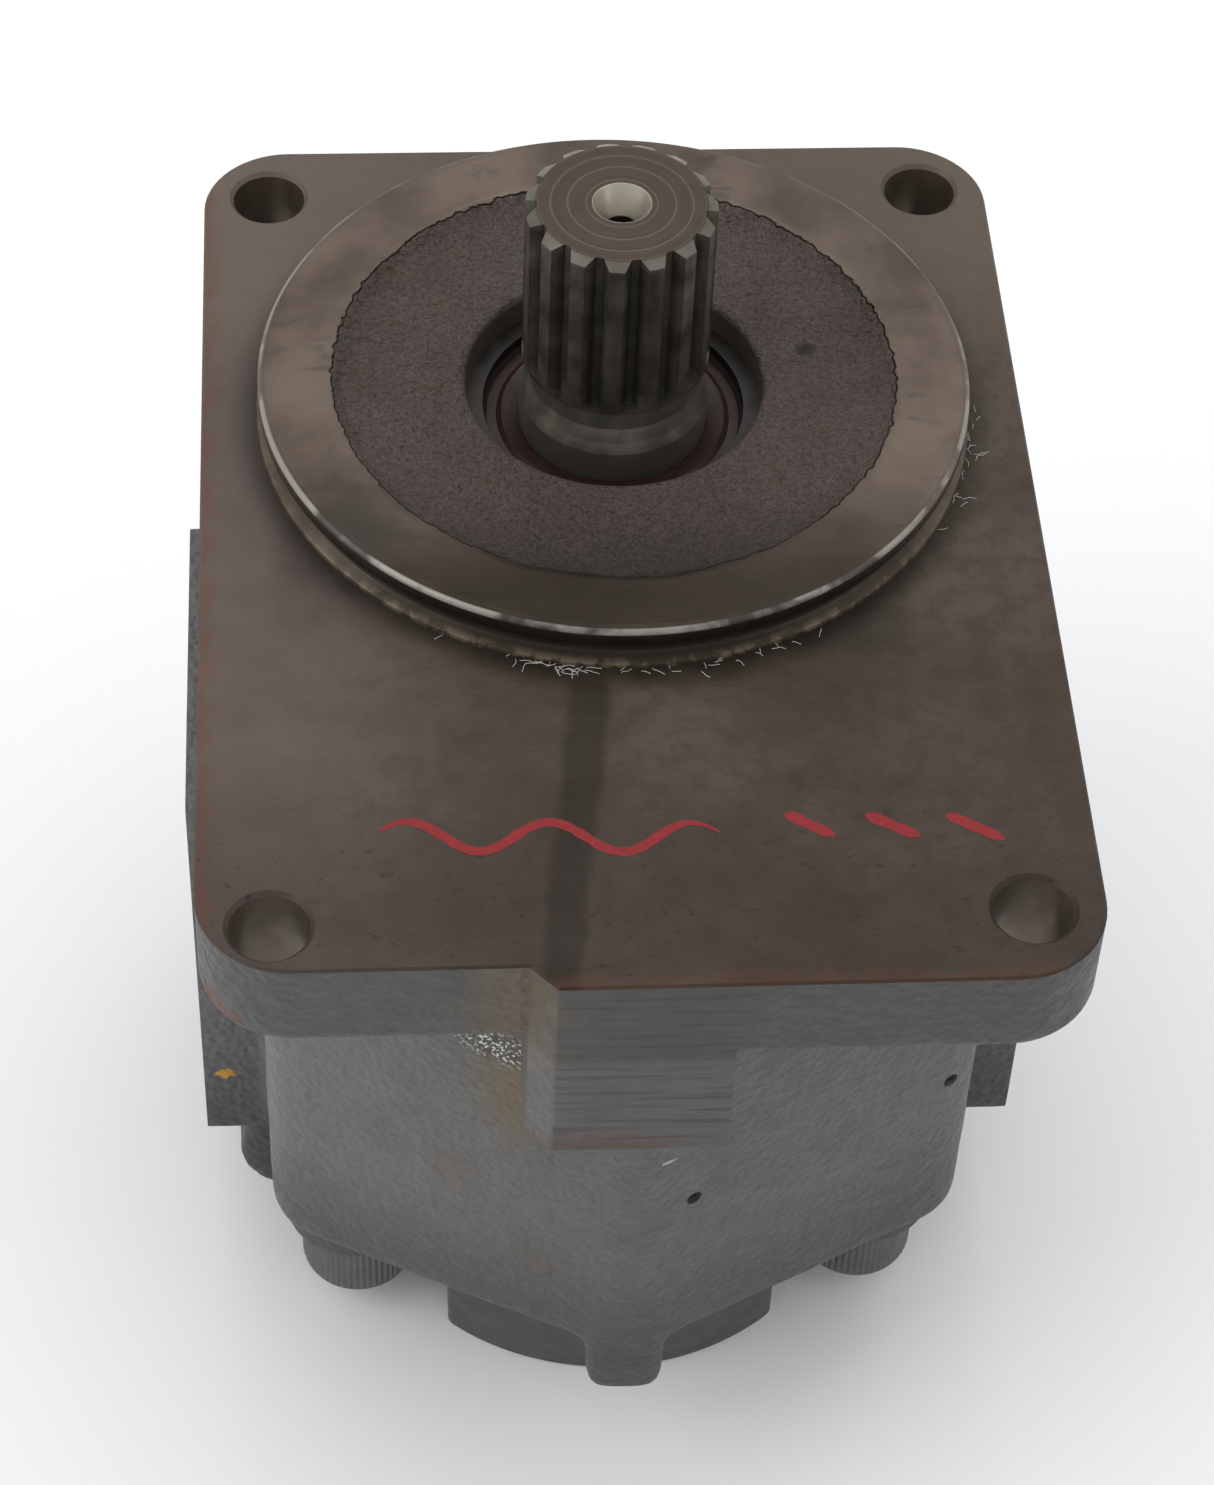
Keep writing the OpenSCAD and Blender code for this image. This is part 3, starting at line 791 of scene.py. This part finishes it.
def paint_stains(m, color):
    """Oil stains and rust, each at its own place on the casting."""
    for spot, amount in [((-18, -104, -8), 0.55), ((-17.5, -92, -45), 0.70)]:
        stain = m.near(spot, 7, 6, 4, 5, (1.2, 1.0, 0.55))
        color = m.tint(color, stain, amount, (0.130, 0.092, 0.040))
    for spot, size in [((-26, -87, -71), 4), ((-14, -94, -88), 3), ((-45, -77, -40), 4)]:
        stain = m.near(spot, size, 3, 4, 2.2, (1, 1, 0.6))
        color = m.tint(color, stain, 0.30, (0.095, 0.066, 0.036))
    rust = m.near((-57.5, -99, -15), 4.5, 2.0, 6, 2)
    color = m.tint(color, rust, 0.75, RUST)
    boss_rust = m.near((-6, flange_low.y, -37), 7, 3, 7, 2, (0.6, 1, 1.6))
    color = m.tint(color, boss_rust, 0.45, (0.085, 0.030, 0.017))
    return color


def paint_chips(m, color):
    """Bright flecks of bare iron, a dab of yellow paint and a scratch."""
    chips = m.near((-20.5, -91, -38), 4.5, 2.5, 2, 2, (0.75, 0.75, 1.5))
    color = m.tint(color, chips, 0.6, (0.025, 0.025, 0.020))
    flecks = m.both(chips, m.range(m.noise(0.55, 2), 0.54, 0.60))
    color = m.mix(flecks, color, (0.62, 0.62, 0.60))
    yellow = m.near((-60.7, -53, -92.7), 1.3, 0.15, 1.7, 1.3, (0.8, 1, 1.2))
    color = m.mix(yellow, color, (0.50, 0.24, 0.020))
    scratch = m.near((5.0, -98.5, -56), 1.3, 0.3, 0.8, 1.0, (0.8, 1, 3.6))
    color = m.mix(scratch, color, (0.40, 0.40, 0.40))
    return color


def grey_paint():
    """Hammered grey paint over cast iron and milling lines, with rust, stains and chips, painted light on the
    left and painted shade low down and on the flange's sides.
    """
    m = Material("grey_paint", roughness=0.5, specular=0.35)
    across = m.ragged(m.axis("X"), 4, 3, 6)
    milled = m.both(m.range(m.axis("Y"), -108.7, -109.0), m.range(across, 18, 13))
    cast = m.range(milled, 0, 1, 1, 0)
    lines = m.noise(0.8, 3, 0.6, m.stretched(0.035, 0.035, 1.0))
    tone = m.mix(m.noise(9, 4), (0.080, 0.081, 0.081), (0.110, 0.111, 0.111))
    dimples = m.math("MULTIPLY", m.cells(1.4, 0.7), cast)
    specks = m.math("MULTIPLY", m.range(m.noise(0.9, 3, 0.6), 0.50, 0.66), cast)
    color = m.tint(tone, specks, 0.35, (0.038, 0.039, 0.039))
    grooves = m.math("MULTIPLY", m.range(lines, 0.52, 0.62), milled)
    color = m.tint(color, milled, 0.35, (0.044, 0.044, 0.043))
    color = m.tint(color, grooves, 0.55, (0.022, 0.022, 0.022))
    # painted light: the paint is lighter towards the left, where the left lamp falls
    left = m.range(m.axis("X"), 5, -50)
    color = m.tint(color, left, 0.45, (0.150, 0.149, 0.146))
    grime = m.range(m.noise(20, 5, 0.6), 0.52, 0.72)
    color = m.tint(color, grime, 0.45, (0.080, 0.072, 0.056))
    # painted shade: the paint is darker towards the bottom of the body
    low = m.range(m.axis("Z"), -75, -108)
    color = m.tint(color, low, 0.75, (0.042, 0.042, 0.042))
    # painted shade: the flange's painted sides are made darker
    flange_side_shade = m.range(m.axis("Z"), -17.5, -15.5)
    color = m.tint(color, flange_side_shade, 0.60, (0.036, 0.036, 0.035))
    color = paint_chips(m, paint_stains(m, color))
    roughness = m.range(m.noise(3.5, 3), 0.3, 0.7, 0.46, 0.60)
    ripple = m.math("MULTIPLY", m.noise(0.8, 3, 0.5), cast)
    m.bump((dimples, 0.9, 0.42), (ripple, 0.6, 0.28), (m.math("MULTIPLY", lines, milled), 0.8, 0.35))
    return m.finish(color, roughness)


def face_marks(m, color, front):
    """Oil round the pilot, pits that grow towards the front, rusty edges and two dark blots."""
    skirt = m.range(m.ragged(m.radius(), 9, 3, 4), 54.5, 60, 1, 0)
    color = m.tint(color, skirt, 0.55, DARK_OIL)
    pits = m.range(m.noise(1.5, 4, 0.6, m.stretched(0.7, 1.0, 1.0)), 0.60, 0.68)
    color = m.tint(color, pits, m.range(front, 0, 1, 0.10, 0.65), DARK_OIL)
    rust_left = m.range(m.ragged(m.axis("X"), 5, 4, 7), -54.5, -57.0)
    color = m.tint(color, rust_left, 0.35, RUST)
    rust_front = m.range(m.ragged(m.axis("Y"), 6, 4, 8), -102.5, -104.5)
    color = m.tint(color, rust_front, 0.22, RUST)
    smear = m.near((30, -45, 0), 5, 4, 4, 5, (0.5, 1.0, 1.0))
    color = m.tint(color, smear, 0.5, DARK_OIL)
    blot = m.near((-44, -30, 0), 5, 5, 5, 5, (1.0, 0.5, 1.0))
    color = m.tint(color, blot, 0.4, DARK_OIL)
    return color


def machined_face():
    """Milled flange face: oily brown tarnish, dark streak, faint tool lines and scratches, painted reflection
    lighter to the left and back, painted shade darker to the front and right.
    """
    m = Material("machined_face", roughness=0.5, metallic=0.25, specular=0.2)
    broad = m.noise(34, 4, 0.5)
    color = m.mix(m.range(broad, 0.35, 0.65), (0.050, 0.036, 0.026), (0.078, 0.060, 0.045))
    mottled = m.range(m.noise(4, 6, 0.75), 0.42, 0.62)
    color = m.tint(color, mottled, 0.50, (0.034, 0.025, 0.018))
    # painted shade: the face is darker towards the front right
    right = m.both(m.range(m.axis("X"), -5, 25), m.range(m.axis("Y"), -30, -55))
    color = m.tint(color, right, 0.35, (0.026, 0.018, 0.012))
    # painted reflection: the face is lighter towards the left
    left = m.range(m.axis("X"), -15, -60)
    color = m.tint(color, left, 0.75, (0.104, 0.081, 0.071))
    # painted reflection: the face is lighter towards the back
    back = m.range(m.axis("Y"), 0, 28)
    color = m.tint(color, back, 0.60, (0.120, 0.096, 0.076))
    # painted shade: the face is darker towards the front; the same mask also grows the pits in face_marks
    front = m.range(m.axis("Y"), -62, -100)
    color = m.tint(color, front, 0.60, (0.032, 0.022, 0.016))
    x_along = m.math("ADD", m.axis("X"), m.math("MULTIPLY", m.axis("Y"), -0.125))
    wander = m.math("MULTIPLY", m.math("SUBTRACT", m.noise(16, 2), 0.5), 4)
    off_centre = m.math("ABSOLUTE", m.math("ADD", m.math("ADD", x_along, wander), -0.8))
    streak = m.both(m.range(off_centre, 1.8, 3.8, 1, 0), m.range(m.axis("Y"), -52, -58))
    color = m.tint(color, streak, 0.80, (0.016, 0.010, 0.006))
    color = face_marks(m, color, front)
    lines = m.noise(0.6, 2, 0.5, m.stretched(0.04, 1.0, 1.0))
    scratches = m.noise(0.9, 3, 0.6, m.stretched(0.25, 1.0, 1.0))
    m.bump((lines, 0.22, 0.12), (scratches, 0.16, 0.12), (m.noise(2.4, 4), 0.15, 0.18))
    roughness = m.range(m.noise(9, 4), 0.3, 0.7, 0.40, 0.58)
    roughness = m.math("SUBTRACT", roughness, m.math("MULTIPLY", streak, 0.06))
    return m.finish(color, roughness)


def turned_ring(m, front):
    """Colour of the turned ring: smeared, painted shade at the front and in the undercut, and a painted
    highlight, partly wear, along the rim edge.
    """
    height = m.axis("Z")
    broad = m.noise(17, 4, 0.55)
    ring = m.mix(m.range(broad, 0.3, 0.7), (0.070, 0.051, 0.037), (0.130, 0.100, 0.079))
    smear = m.range(m.noise(8, 5, 0.6, m.stretched(0.7, 1.5, 1.0), 0.6), 0.55, 0.68)
    ring = m.tint(ring, smear, 0.55, (0.042, 0.041, 0.036))
    # painted shade: the ring is made nearly black towards the front
    ring = m.tint(ring, front, 0.88, (0.014, 0.009, 0.005))
    dark_patch = m.near((-40, -32, 7), 6, 5, 6, 5, (1.0, 0.6, 1.0))
    ring = m.tint(ring, dark_patch, 0.6, (0.026, 0.025, 0.020))
    # painted highlight, partly real wear: a pale line along the rim's chamfer edge, uneven along the rim
    wear_and_glint = m.range(m.noise(11, 4, 0.6), 0.36, 0.60)
    rim = m.both(m.range(m.radius(), 51.75, 52.05), m.range(height, 6.2, 6.5))
    ring = m.tint(ring, rim, m.range(wear_and_glint, 0, 1, 0.10, 0.80), (0.32, 0.30, 0.27))
    foot = m.range(height, 1.3, 0.5)
    ragged = m.range(m.noise(2.2, 4), 0.42, 0.60, 0.15, 0.85)
    ring = m.tint(ring, foot, ragged, (0.150, 0.120, 0.082))
    # painted shade: the undercut groove is made darker
    undercut = m.both(m.range(height, 4.4, 4.0), m.range(height, 1.2, 1.7))
    ring = m.tint(ring, undercut, 0.75, (0.038, 0.032, 0.024))
    return ring


def cast_floor(m, front):
    """Colour of the cast recess: dark grains, faint rust, one deep pit and painted shade towards the front.
    """
    tone = m.mix(m.noise(8, 5, 0.6), (0.066, 0.048, 0.040), (0.120, 0.092, 0.077))
    grains = m.range(m.noise(0.7, 3, 0.7), 0.42, 0.62)
    floor = m.tint(tone, grains, 0.50, (0.024, 0.017, 0.014))
    # painted shade: the recess floor is made darker towards the front
    floor = m.tint(floor, front, 0.75, (0.018, 0.012, 0.009))
    bloom = m.range(m.noise(5, 4), 0.60, 0.72)
    floor = m.tint(floor, bloom, 0.25, (0.090, 0.045, 0.026))
    pit = m.near((28.8, 5.5, 5.5), 1.3, 0.7, 0.6, 1.0, (1, 1, 0))
    floor = m.tint(floor, pit, 0.8, (0.008, 0.006, 0.005))
    return floor


def pilot_iron():
    """Pilot: turned ring with a painted highlight, partly wear, on its rim outside, rough cast recess inside
    a ragged edge, both with painted shade towards the front.
    """
    m = Material("pilot_iron", roughness=0.4, specular=0.22)
    radius = m.radius()
    height = m.axis("Z")
    edge = m.ragged(radius, 1.8, 4, 1.6)
    machined = m.math("MAXIMUM", m.range(edge, 42.1, 42.7), m.range(height, 5.0, 4.6), clamp=True)

    # painted shade: the ring and the recess are made darker towards the front
    front = m.range(m.axis("Y"), -18, -46)
    color = m.mix(machined, cast_floor(m, front), turned_ring(m, front))

    place = m.node("ShaderNodeCombineXYZ")
    m.join(radius, place.inputs[0])
    m.join(height, place.inputs[2])
    turning = m.math("MULTIPLY", m.noise(0.28, 2, 0.5, place.outputs[0]), machined)
    cast = m.range(machined, 0, 1, 1, 0)
    coarse = m.math("MULTIPLY", m.noise(1.5, 4, 0.65), cast)
    fine = m.math("MULTIPLY", m.noise(0.6, 3, 0.6), cast)
    m.bump((turning, 0.35, 0.08), (coarse, 1.0, 1.7), (fine, 1.0, 0.6), (m.noise(2.0, 4), 0.10, 0.12))
    rough = m.range(m.noise(6, 4), 0.3, 0.7, 0.0, 0.16)
    return m.finish(
        color, m.math("ADD", rough, m.range(machined, 0, 1, 0.52, 0.32)), m.math("MULTIPLY", machined, 0.5)
    )


def bore_steel():
    """Bored wall above the seal: tan, wiped clean, with fine turning."""
    m = Material("bore_steel", roughness=0.38, metallic=0.6)
    color = m.mix(m.noise(6, 4), (0.085, 0.062, 0.044), (0.160, 0.125, 0.094))
    lines = m.noise(0.3, 2, 0.5, m.stretched(0.02, 0.02, 1.0))
    m.bump((lines, 0.25, 0.08))
    return m.finish(color, m.range(m.noise(3, 3), 0.3, 0.7, 0.30, 0.46))


def shaft_steel():
    """Oiled hardened steel: end face turned in rings, flanks drawn along the shaft."""
    m = Material("shaft_steel", roughness=0.36, metallic=0.85)
    height = m.axis("Z")
    broad = m.noise(6, 4, 0.6)
    color = m.mix(m.range(broad, 0.3, 0.7), (0.088, 0.080, 0.062), (0.150, 0.138, 0.112))
    film = m.range(m.noise(3, 4, 0.6, m.stretched(1, 1, 0.35)), 0.5, 0.7)
    color = m.tint(color, film, 0.40, (0.032, 0.029, 0.021))
    groove = m.both(m.range(m.radius(), 13.3, 12.4), m.range(height, 11.9, 12.3))
    color = m.tint(color, groove, 0.5, (0.034, 0.033, 0.028))
    neck = m.both(m.range(height, 11.5, 10.8), m.range(height, -9, -8))
    color = m.tint(color, neck, 0.7, (0.300, 0.280, 0.235))
    cone = m.both(m.range(m.radius(), 4.35, 4.15), m.range(height, 34.9, 35.3))
    color = m.tint(color, cone, 0.85, (0.56, 0.53, 0.46))
    end = m.both(m.range(height, drive_high.z - 0.03, drive_high.z - 0.01), m.range(m.radius(), 4.2, 4.4))
    color = m.tint(color, end, 0.9, (0.062, 0.045, 0.034))
    chamfer = m.both(m.range(height, drive_high.z - 1.5, drive_high.z - 1.3), m.range(m.radius(), 12.3, 12.4))
    color = m.tint(color, chamfer, 0.7, (0.150, 0.138, 0.118))
    place = m.node("ShaderNodeCombineXYZ")
    m.join(m.radius(), place.inputs[0])
    rings = m.math("MULTIPLY", m.noise(0.9, 3, 0.6, place.outputs[0]), end)
    color = m.mix(m.range(rings, 0.54, 0.64, 0, 0.45), color, (0.160, 0.138, 0.118))
    color = m.mix(m.range(m.math("SUBTRACT", end, rings), 0.58, 0.66, 0, 0.45), color, (0.040, 0.030, 0.024))
    drawn = m.noise(0.35, 2, 0.5, m.stretched(1.0, 1.0, 0.04))
    m.bump((rings, 0.6, 0.18), (drawn, 0.15, 0.06))
    roughness = m.range(m.noise(4, 4), 0.3, 0.7, 0.28, 0.46)
    return m.finish(color, roughness)


def steel(name, dark, light, roughness, metallic=0.8):
    """A plain steel with mottled tone and fine scratches."""
    m = Material(name, metallic=metallic)
    color = m.mix(m.noise(4, 5, 0.6), dark, light)
    m.bump((m.noise(0.4, 3, 0.6), 0.12, 0.06), (m.noise(3, 3), 0.08, 0.15))
    return m.finish(color, m.range(m.noise(2.5, 4), 0.3, 0.7, roughness - 0.06, roughness + 0.10))


def seal_rubber():
    """Dark red-brown nitrile, oily and dusty, in a black outer ring."""
    m = Material("seal_rubber", roughness=0.4, specular=0.3)
    color = m.mix(m.noise(5, 4), (0.012, 0.005, 0.0045), (0.034, 0.012, 0.010))
    outer = m.range(m.radius(), 18.9, 19.3)
    color = m.mix(outer, color, (0.012, 0.012, 0.012))
    dust = m.range(m.noise(0.8, 3), 0.62, 0.70)
    color = m.tint(color, dust, 0.3, (0.10, 0.06, 0.05))
    m.bump((m.noise(1.2, 3), 0.2, 0.1))
    return m.finish(color, m.range(m.noise(3, 3), 0.3, 0.7, 0.34, 0.52))


def rubber():
    """Plain black rubber of the seals inside."""
    m = Material("black_rubber", roughness=0.55)
    color = m.mix(m.noise(2, 4), (0.012, 0.012, 0.012), (0.030, 0.030, 0.030))
    m.bump((m.noise(0.6, 3), 0.2, 0.08))
    return m.finish(color)


def nylon():
    """Off-white plastic of the backup rings."""
    m = Material("white_plastic", roughness=0.45)
    color = m.mix(m.noise(3, 4), (0.62, 0.60, 0.52), (0.78, 0.76, 0.70))
    m.bump((m.noise(0.8, 3), 0.15, 0.06))
    return m.finish(color)


def marker_paint():
    """Thin red paint marker, streaky and matt."""
    m = Material("red_marker", roughness=0.6, specular=0.15)
    color = m.mix(m.noise(0.9, 4, 0.6), (0.150, 0.016, 0.018), (0.290, 0.026, 0.030))
    color = m.mix(m.range(m.noise(0.45, 3), 0.56, 0.68, 0, 0.5), color, (0.080, 0.036, 0.030))
    m.bump((m.noise(0.5, 3), 0.2, 0.05))
    return m.finish(color)


def lint_material():
    """Pale fibres of uneven tone."""
    m = Material("lint", roughness=0.8)
    return m.finish(m.mix(m.noise(1.5, 2), (0.42, 0.40, 0.36), (0.75, 0.73, 0.70)))


def floor_material():
    """Plain pale floor that stays close to white under the studio lights."""
    m = Material("pale_floor", roughness=0.75, specular=0.2)
    return m.finish(m.mix(m.noise(400, 2), (0.84, 0.84, 0.845), (0.87, 0.87, 0.875)))


def paint_whole(obj, material):
    """Gives an object one material all over."""
    obj.data.materials.clear()
    obj.data.materials.append(material)


def paint_nodes(material, *names):
    """Gives some of the CAD nodes, which stay in view as they are, one material."""
    for name in names:
        paint_whole(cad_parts[name], material)


def paint_piece(piece, material_of, materials):
    """Gives each face of a piece the material that material_of picks by centre and normal."""
    piece.data.materials.clear()
    for material in materials:
        piece.data.materials.append(material)
    for polygon in piece.data.polygons:
        polygon.material_index = material_of(polygon.center / MM, polygon.normal)


# ---------- assembly ----------

def settle(piece, node):
    """The piece rides on the casing and stands for its CAD node, if it has one."""
    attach(piece, CASING)
    if node:
        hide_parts(node)


paint = grey_paint()
face = machined_face()
pilot_finish = pilot_iron()
bore = bore_steel()
machined_port = steel("machined_port", (0.08, 0.075, 0.068), (0.17, 0.16, 0.15), 0.35)


def flange_part(centre, normal):
    """0 on the milled face, 2 in a bolt hole, 1 on the painted rest."""
    if normal.z > 0.7:
        return 0
    from_hole = min(math.hypot(abs(centre.x) - HOLE_X, centre.y - y) for y in HOLE_Y)
    return 2 if from_hole < HOLE_R + 1 else 1


def pilot_part(centre, normal):
    """1 in the seal bore, 0 outside it."""
    return 1 if math.hypot(centre.x, centre.y) < SEAL_R + 0.1 else 0


def body_part(centre, normal):
    """1 on the faces that are machined after painting, 0 on the rest."""
    on_pad = abs(abs(centre.x) - body_high.x) < 0.02
    in_port = math.hypot(centre.y - MID_Y, centre.z - PORT_Z) < PORT_R + 0.1 and abs(normal.x) < 0.9
    in_chamber = min(math.hypot(centre.x, centre.y - y) for y in (0, IDLER_Y)) < CHAMBER_R + 0.1
    return 1 if on_pad or in_port or in_chamber else 0


flange = make_flange()
paint_piece(flange, flange_part, [face, paint, bore])
settle(flange, "front_flange")

pilot = make_pilot()
paint_piece(pilot, pilot_part, [pilot_finish, bore])
settle(pilot, "front_flange")

body = make_body()
paint_piece(body, body_part, [paint, machined_port])
settle(body, "gear_body")

dark_steel = steel("dark_steel", (0.070, 0.070, 0.065), (0.115, 0.114, 0.107), 0.42, 0.6)
black_steel = steel("black_steel", (0.100, 0.100, 0.097), (0.175, 0.175, 0.170), 0.40, 0.6)
bright_steel = steel("bright_steel", (0.40, 0.40, 0.40), (0.58, 0.58, 0.57), 0.30, 0.9)
ring_steel = steel("ring_steel", (0.014, 0.013, 0.011), (0.040, 0.038, 0.033), 0.38, 0.7)
aluminium = steel("aluminium_block", (0.52, 0.52, 0.51), (0.70, 0.70, 0.69), 0.38, 0.9)
bronze = steel("bronze_liner", (0.38, 0.26, 0.12), (0.55, 0.40, 0.20), 0.35, 0.9)

cap = make_cap()
paint_whole(cap, dark_steel)
settle(cap, "rear_cap")

bolts = make_bolts()
paint_whole(bolts, black_steel)
settle(bolts, "body_bolts")

marks = make_paint_marks()
paint_whole(marks, marker_paint())
settle(marks, None)

lint = make_lint()
paint_whole(lint, lint_material())
settle(lint, None)

paint_nodes(shaft_steel(), "drive_gear_shaft", "idler_gear_shaft")
paint_nodes(seal_rubber(), "shaft_seal")
paint_nodes(ring_steel, "retaining_ring")
paint_nodes(black_steel, "bolt_washers", "cap_screws")
paint_nodes(bright_steel, "dowel_pins", "shaft_seal_case", "garter_spring")
paint_nodes(aluminium, "front_bushing_block", "rear_bushing_block")
paint_nodes(bronze, "drive_front_liner", "drive_rear_liner", "idler_front_liner", "idler_rear_liner")
paint_nodes(rubber(), "front_pressure_seal", "rear_pressure_seal", "body_seal", "cap_seal")
paint_nodes(nylon(), "front_backup_rings", "rear_backup_rings")


# ---------- studio ----------

def make_floor():
    """A pale floor that the motor stands on, curving up far behind it."""
    level = cad_low.z / MM
    width, near, far, rise, sweep = 2600, -1500, 900, 1500, 500
    profile = [(near, level)]
    profile += [(far + p.x, level + sweep + p.y) for p in arc(0, 0, sweep, 270, 360, 24)]
    profile.append((far + sweep, level + rise))
    verts = [(x, y, z) for y, z in profile for x in (-width, width)]
    faces = [[2 * i, 2 * i + 1, 2 * i + 3, 2 * i + 2] for i in range(len(profile) - 1)]
    floor = make_object("floor", verts, faces, 60)
    paint_whole(floor, floor_material())


def area_light(name, place, aim, size, power):
    """A white panel light, its places and size in metres and its power in watts."""
    light = bpy.data.lights.new(name, "AREA")
    light.shape = "RECTANGLE"
    light.size, light.size_y = size
    light.energy = power
    obj = bpy.data.objects.new(name, light)
    obj.location = Vector(place)
    obj.rotation_euler = (Vector(aim) - Vector(place)).to_track_quat("-Z", "Y").to_euler()
    bpy.context.collection.objects.link(obj)


def make_lights():
    """Soft even studio light: a large panel overhead, one at the left and a low fill."""
    world = bpy.data.worlds.new("studio")
    bpy.context.scene.world = world
    world.use_nodes = True
    world.node_tree.nodes["Background"].inputs["Color"].default_value = (0.98, 0.985, 1.0, 1)
    world.node_tree.nodes["Background"].inputs["Strength"].default_value = 0.80
    centre = (0, -0.03, -0.05)
    area_light("overhead", (0.1, 0.5, 1.3), centre, (1.4, 1.0), 7)
    area_light("left", (-1.2, -0.3, 0.8), centre, (0.9, 1.2), 8)
    area_light("right", (1.3, -0.5, 0.9), centre, (0.9, 1.2), 3)


def set_tones():
    """A plain tone curve, so that the pale floor stays nearly white."""
    bpy.context.scene.view_settings.view_transform = "Standard"


def make_camera():
    """Camera raised 48.8 degrees, turned 5.3 degrees to the right and rolled 2.8 degrees."""
    raised, turned_by, roll = 0.8521, 0.0921, -0.0490
    place = Vector((-38.23, -431.33, 418.78))
    ahead = Vector((
        math.sin(turned_by) * math.cos(raised), math.cos(turned_by) * math.cos(raised), -math.sin(raised)
    ))
    level_right = Vector((math.cos(turned_by), -math.sin(turned_by), 0))
    right = Matrix.Rotation(roll, 3, ahead) @ level_right
    data = bpy.data.cameras.new("camera")
    data.lens = 97.8
    data.sensor_width = 36.0
    camera = bpy.data.objects.new("camera", data)
    turn = Matrix((right, right.cross(ahead), -ahead)).transposed().to_4x4()
    camera.matrix_world = Matrix.Translation(place * MM) @ turn
    bpy.context.collection.objects.link(camera)
    bpy.context.scene.camera = camera


make_floor()
make_lights()
set_tones()
make_camera()

bpy.context.view_layer.update()
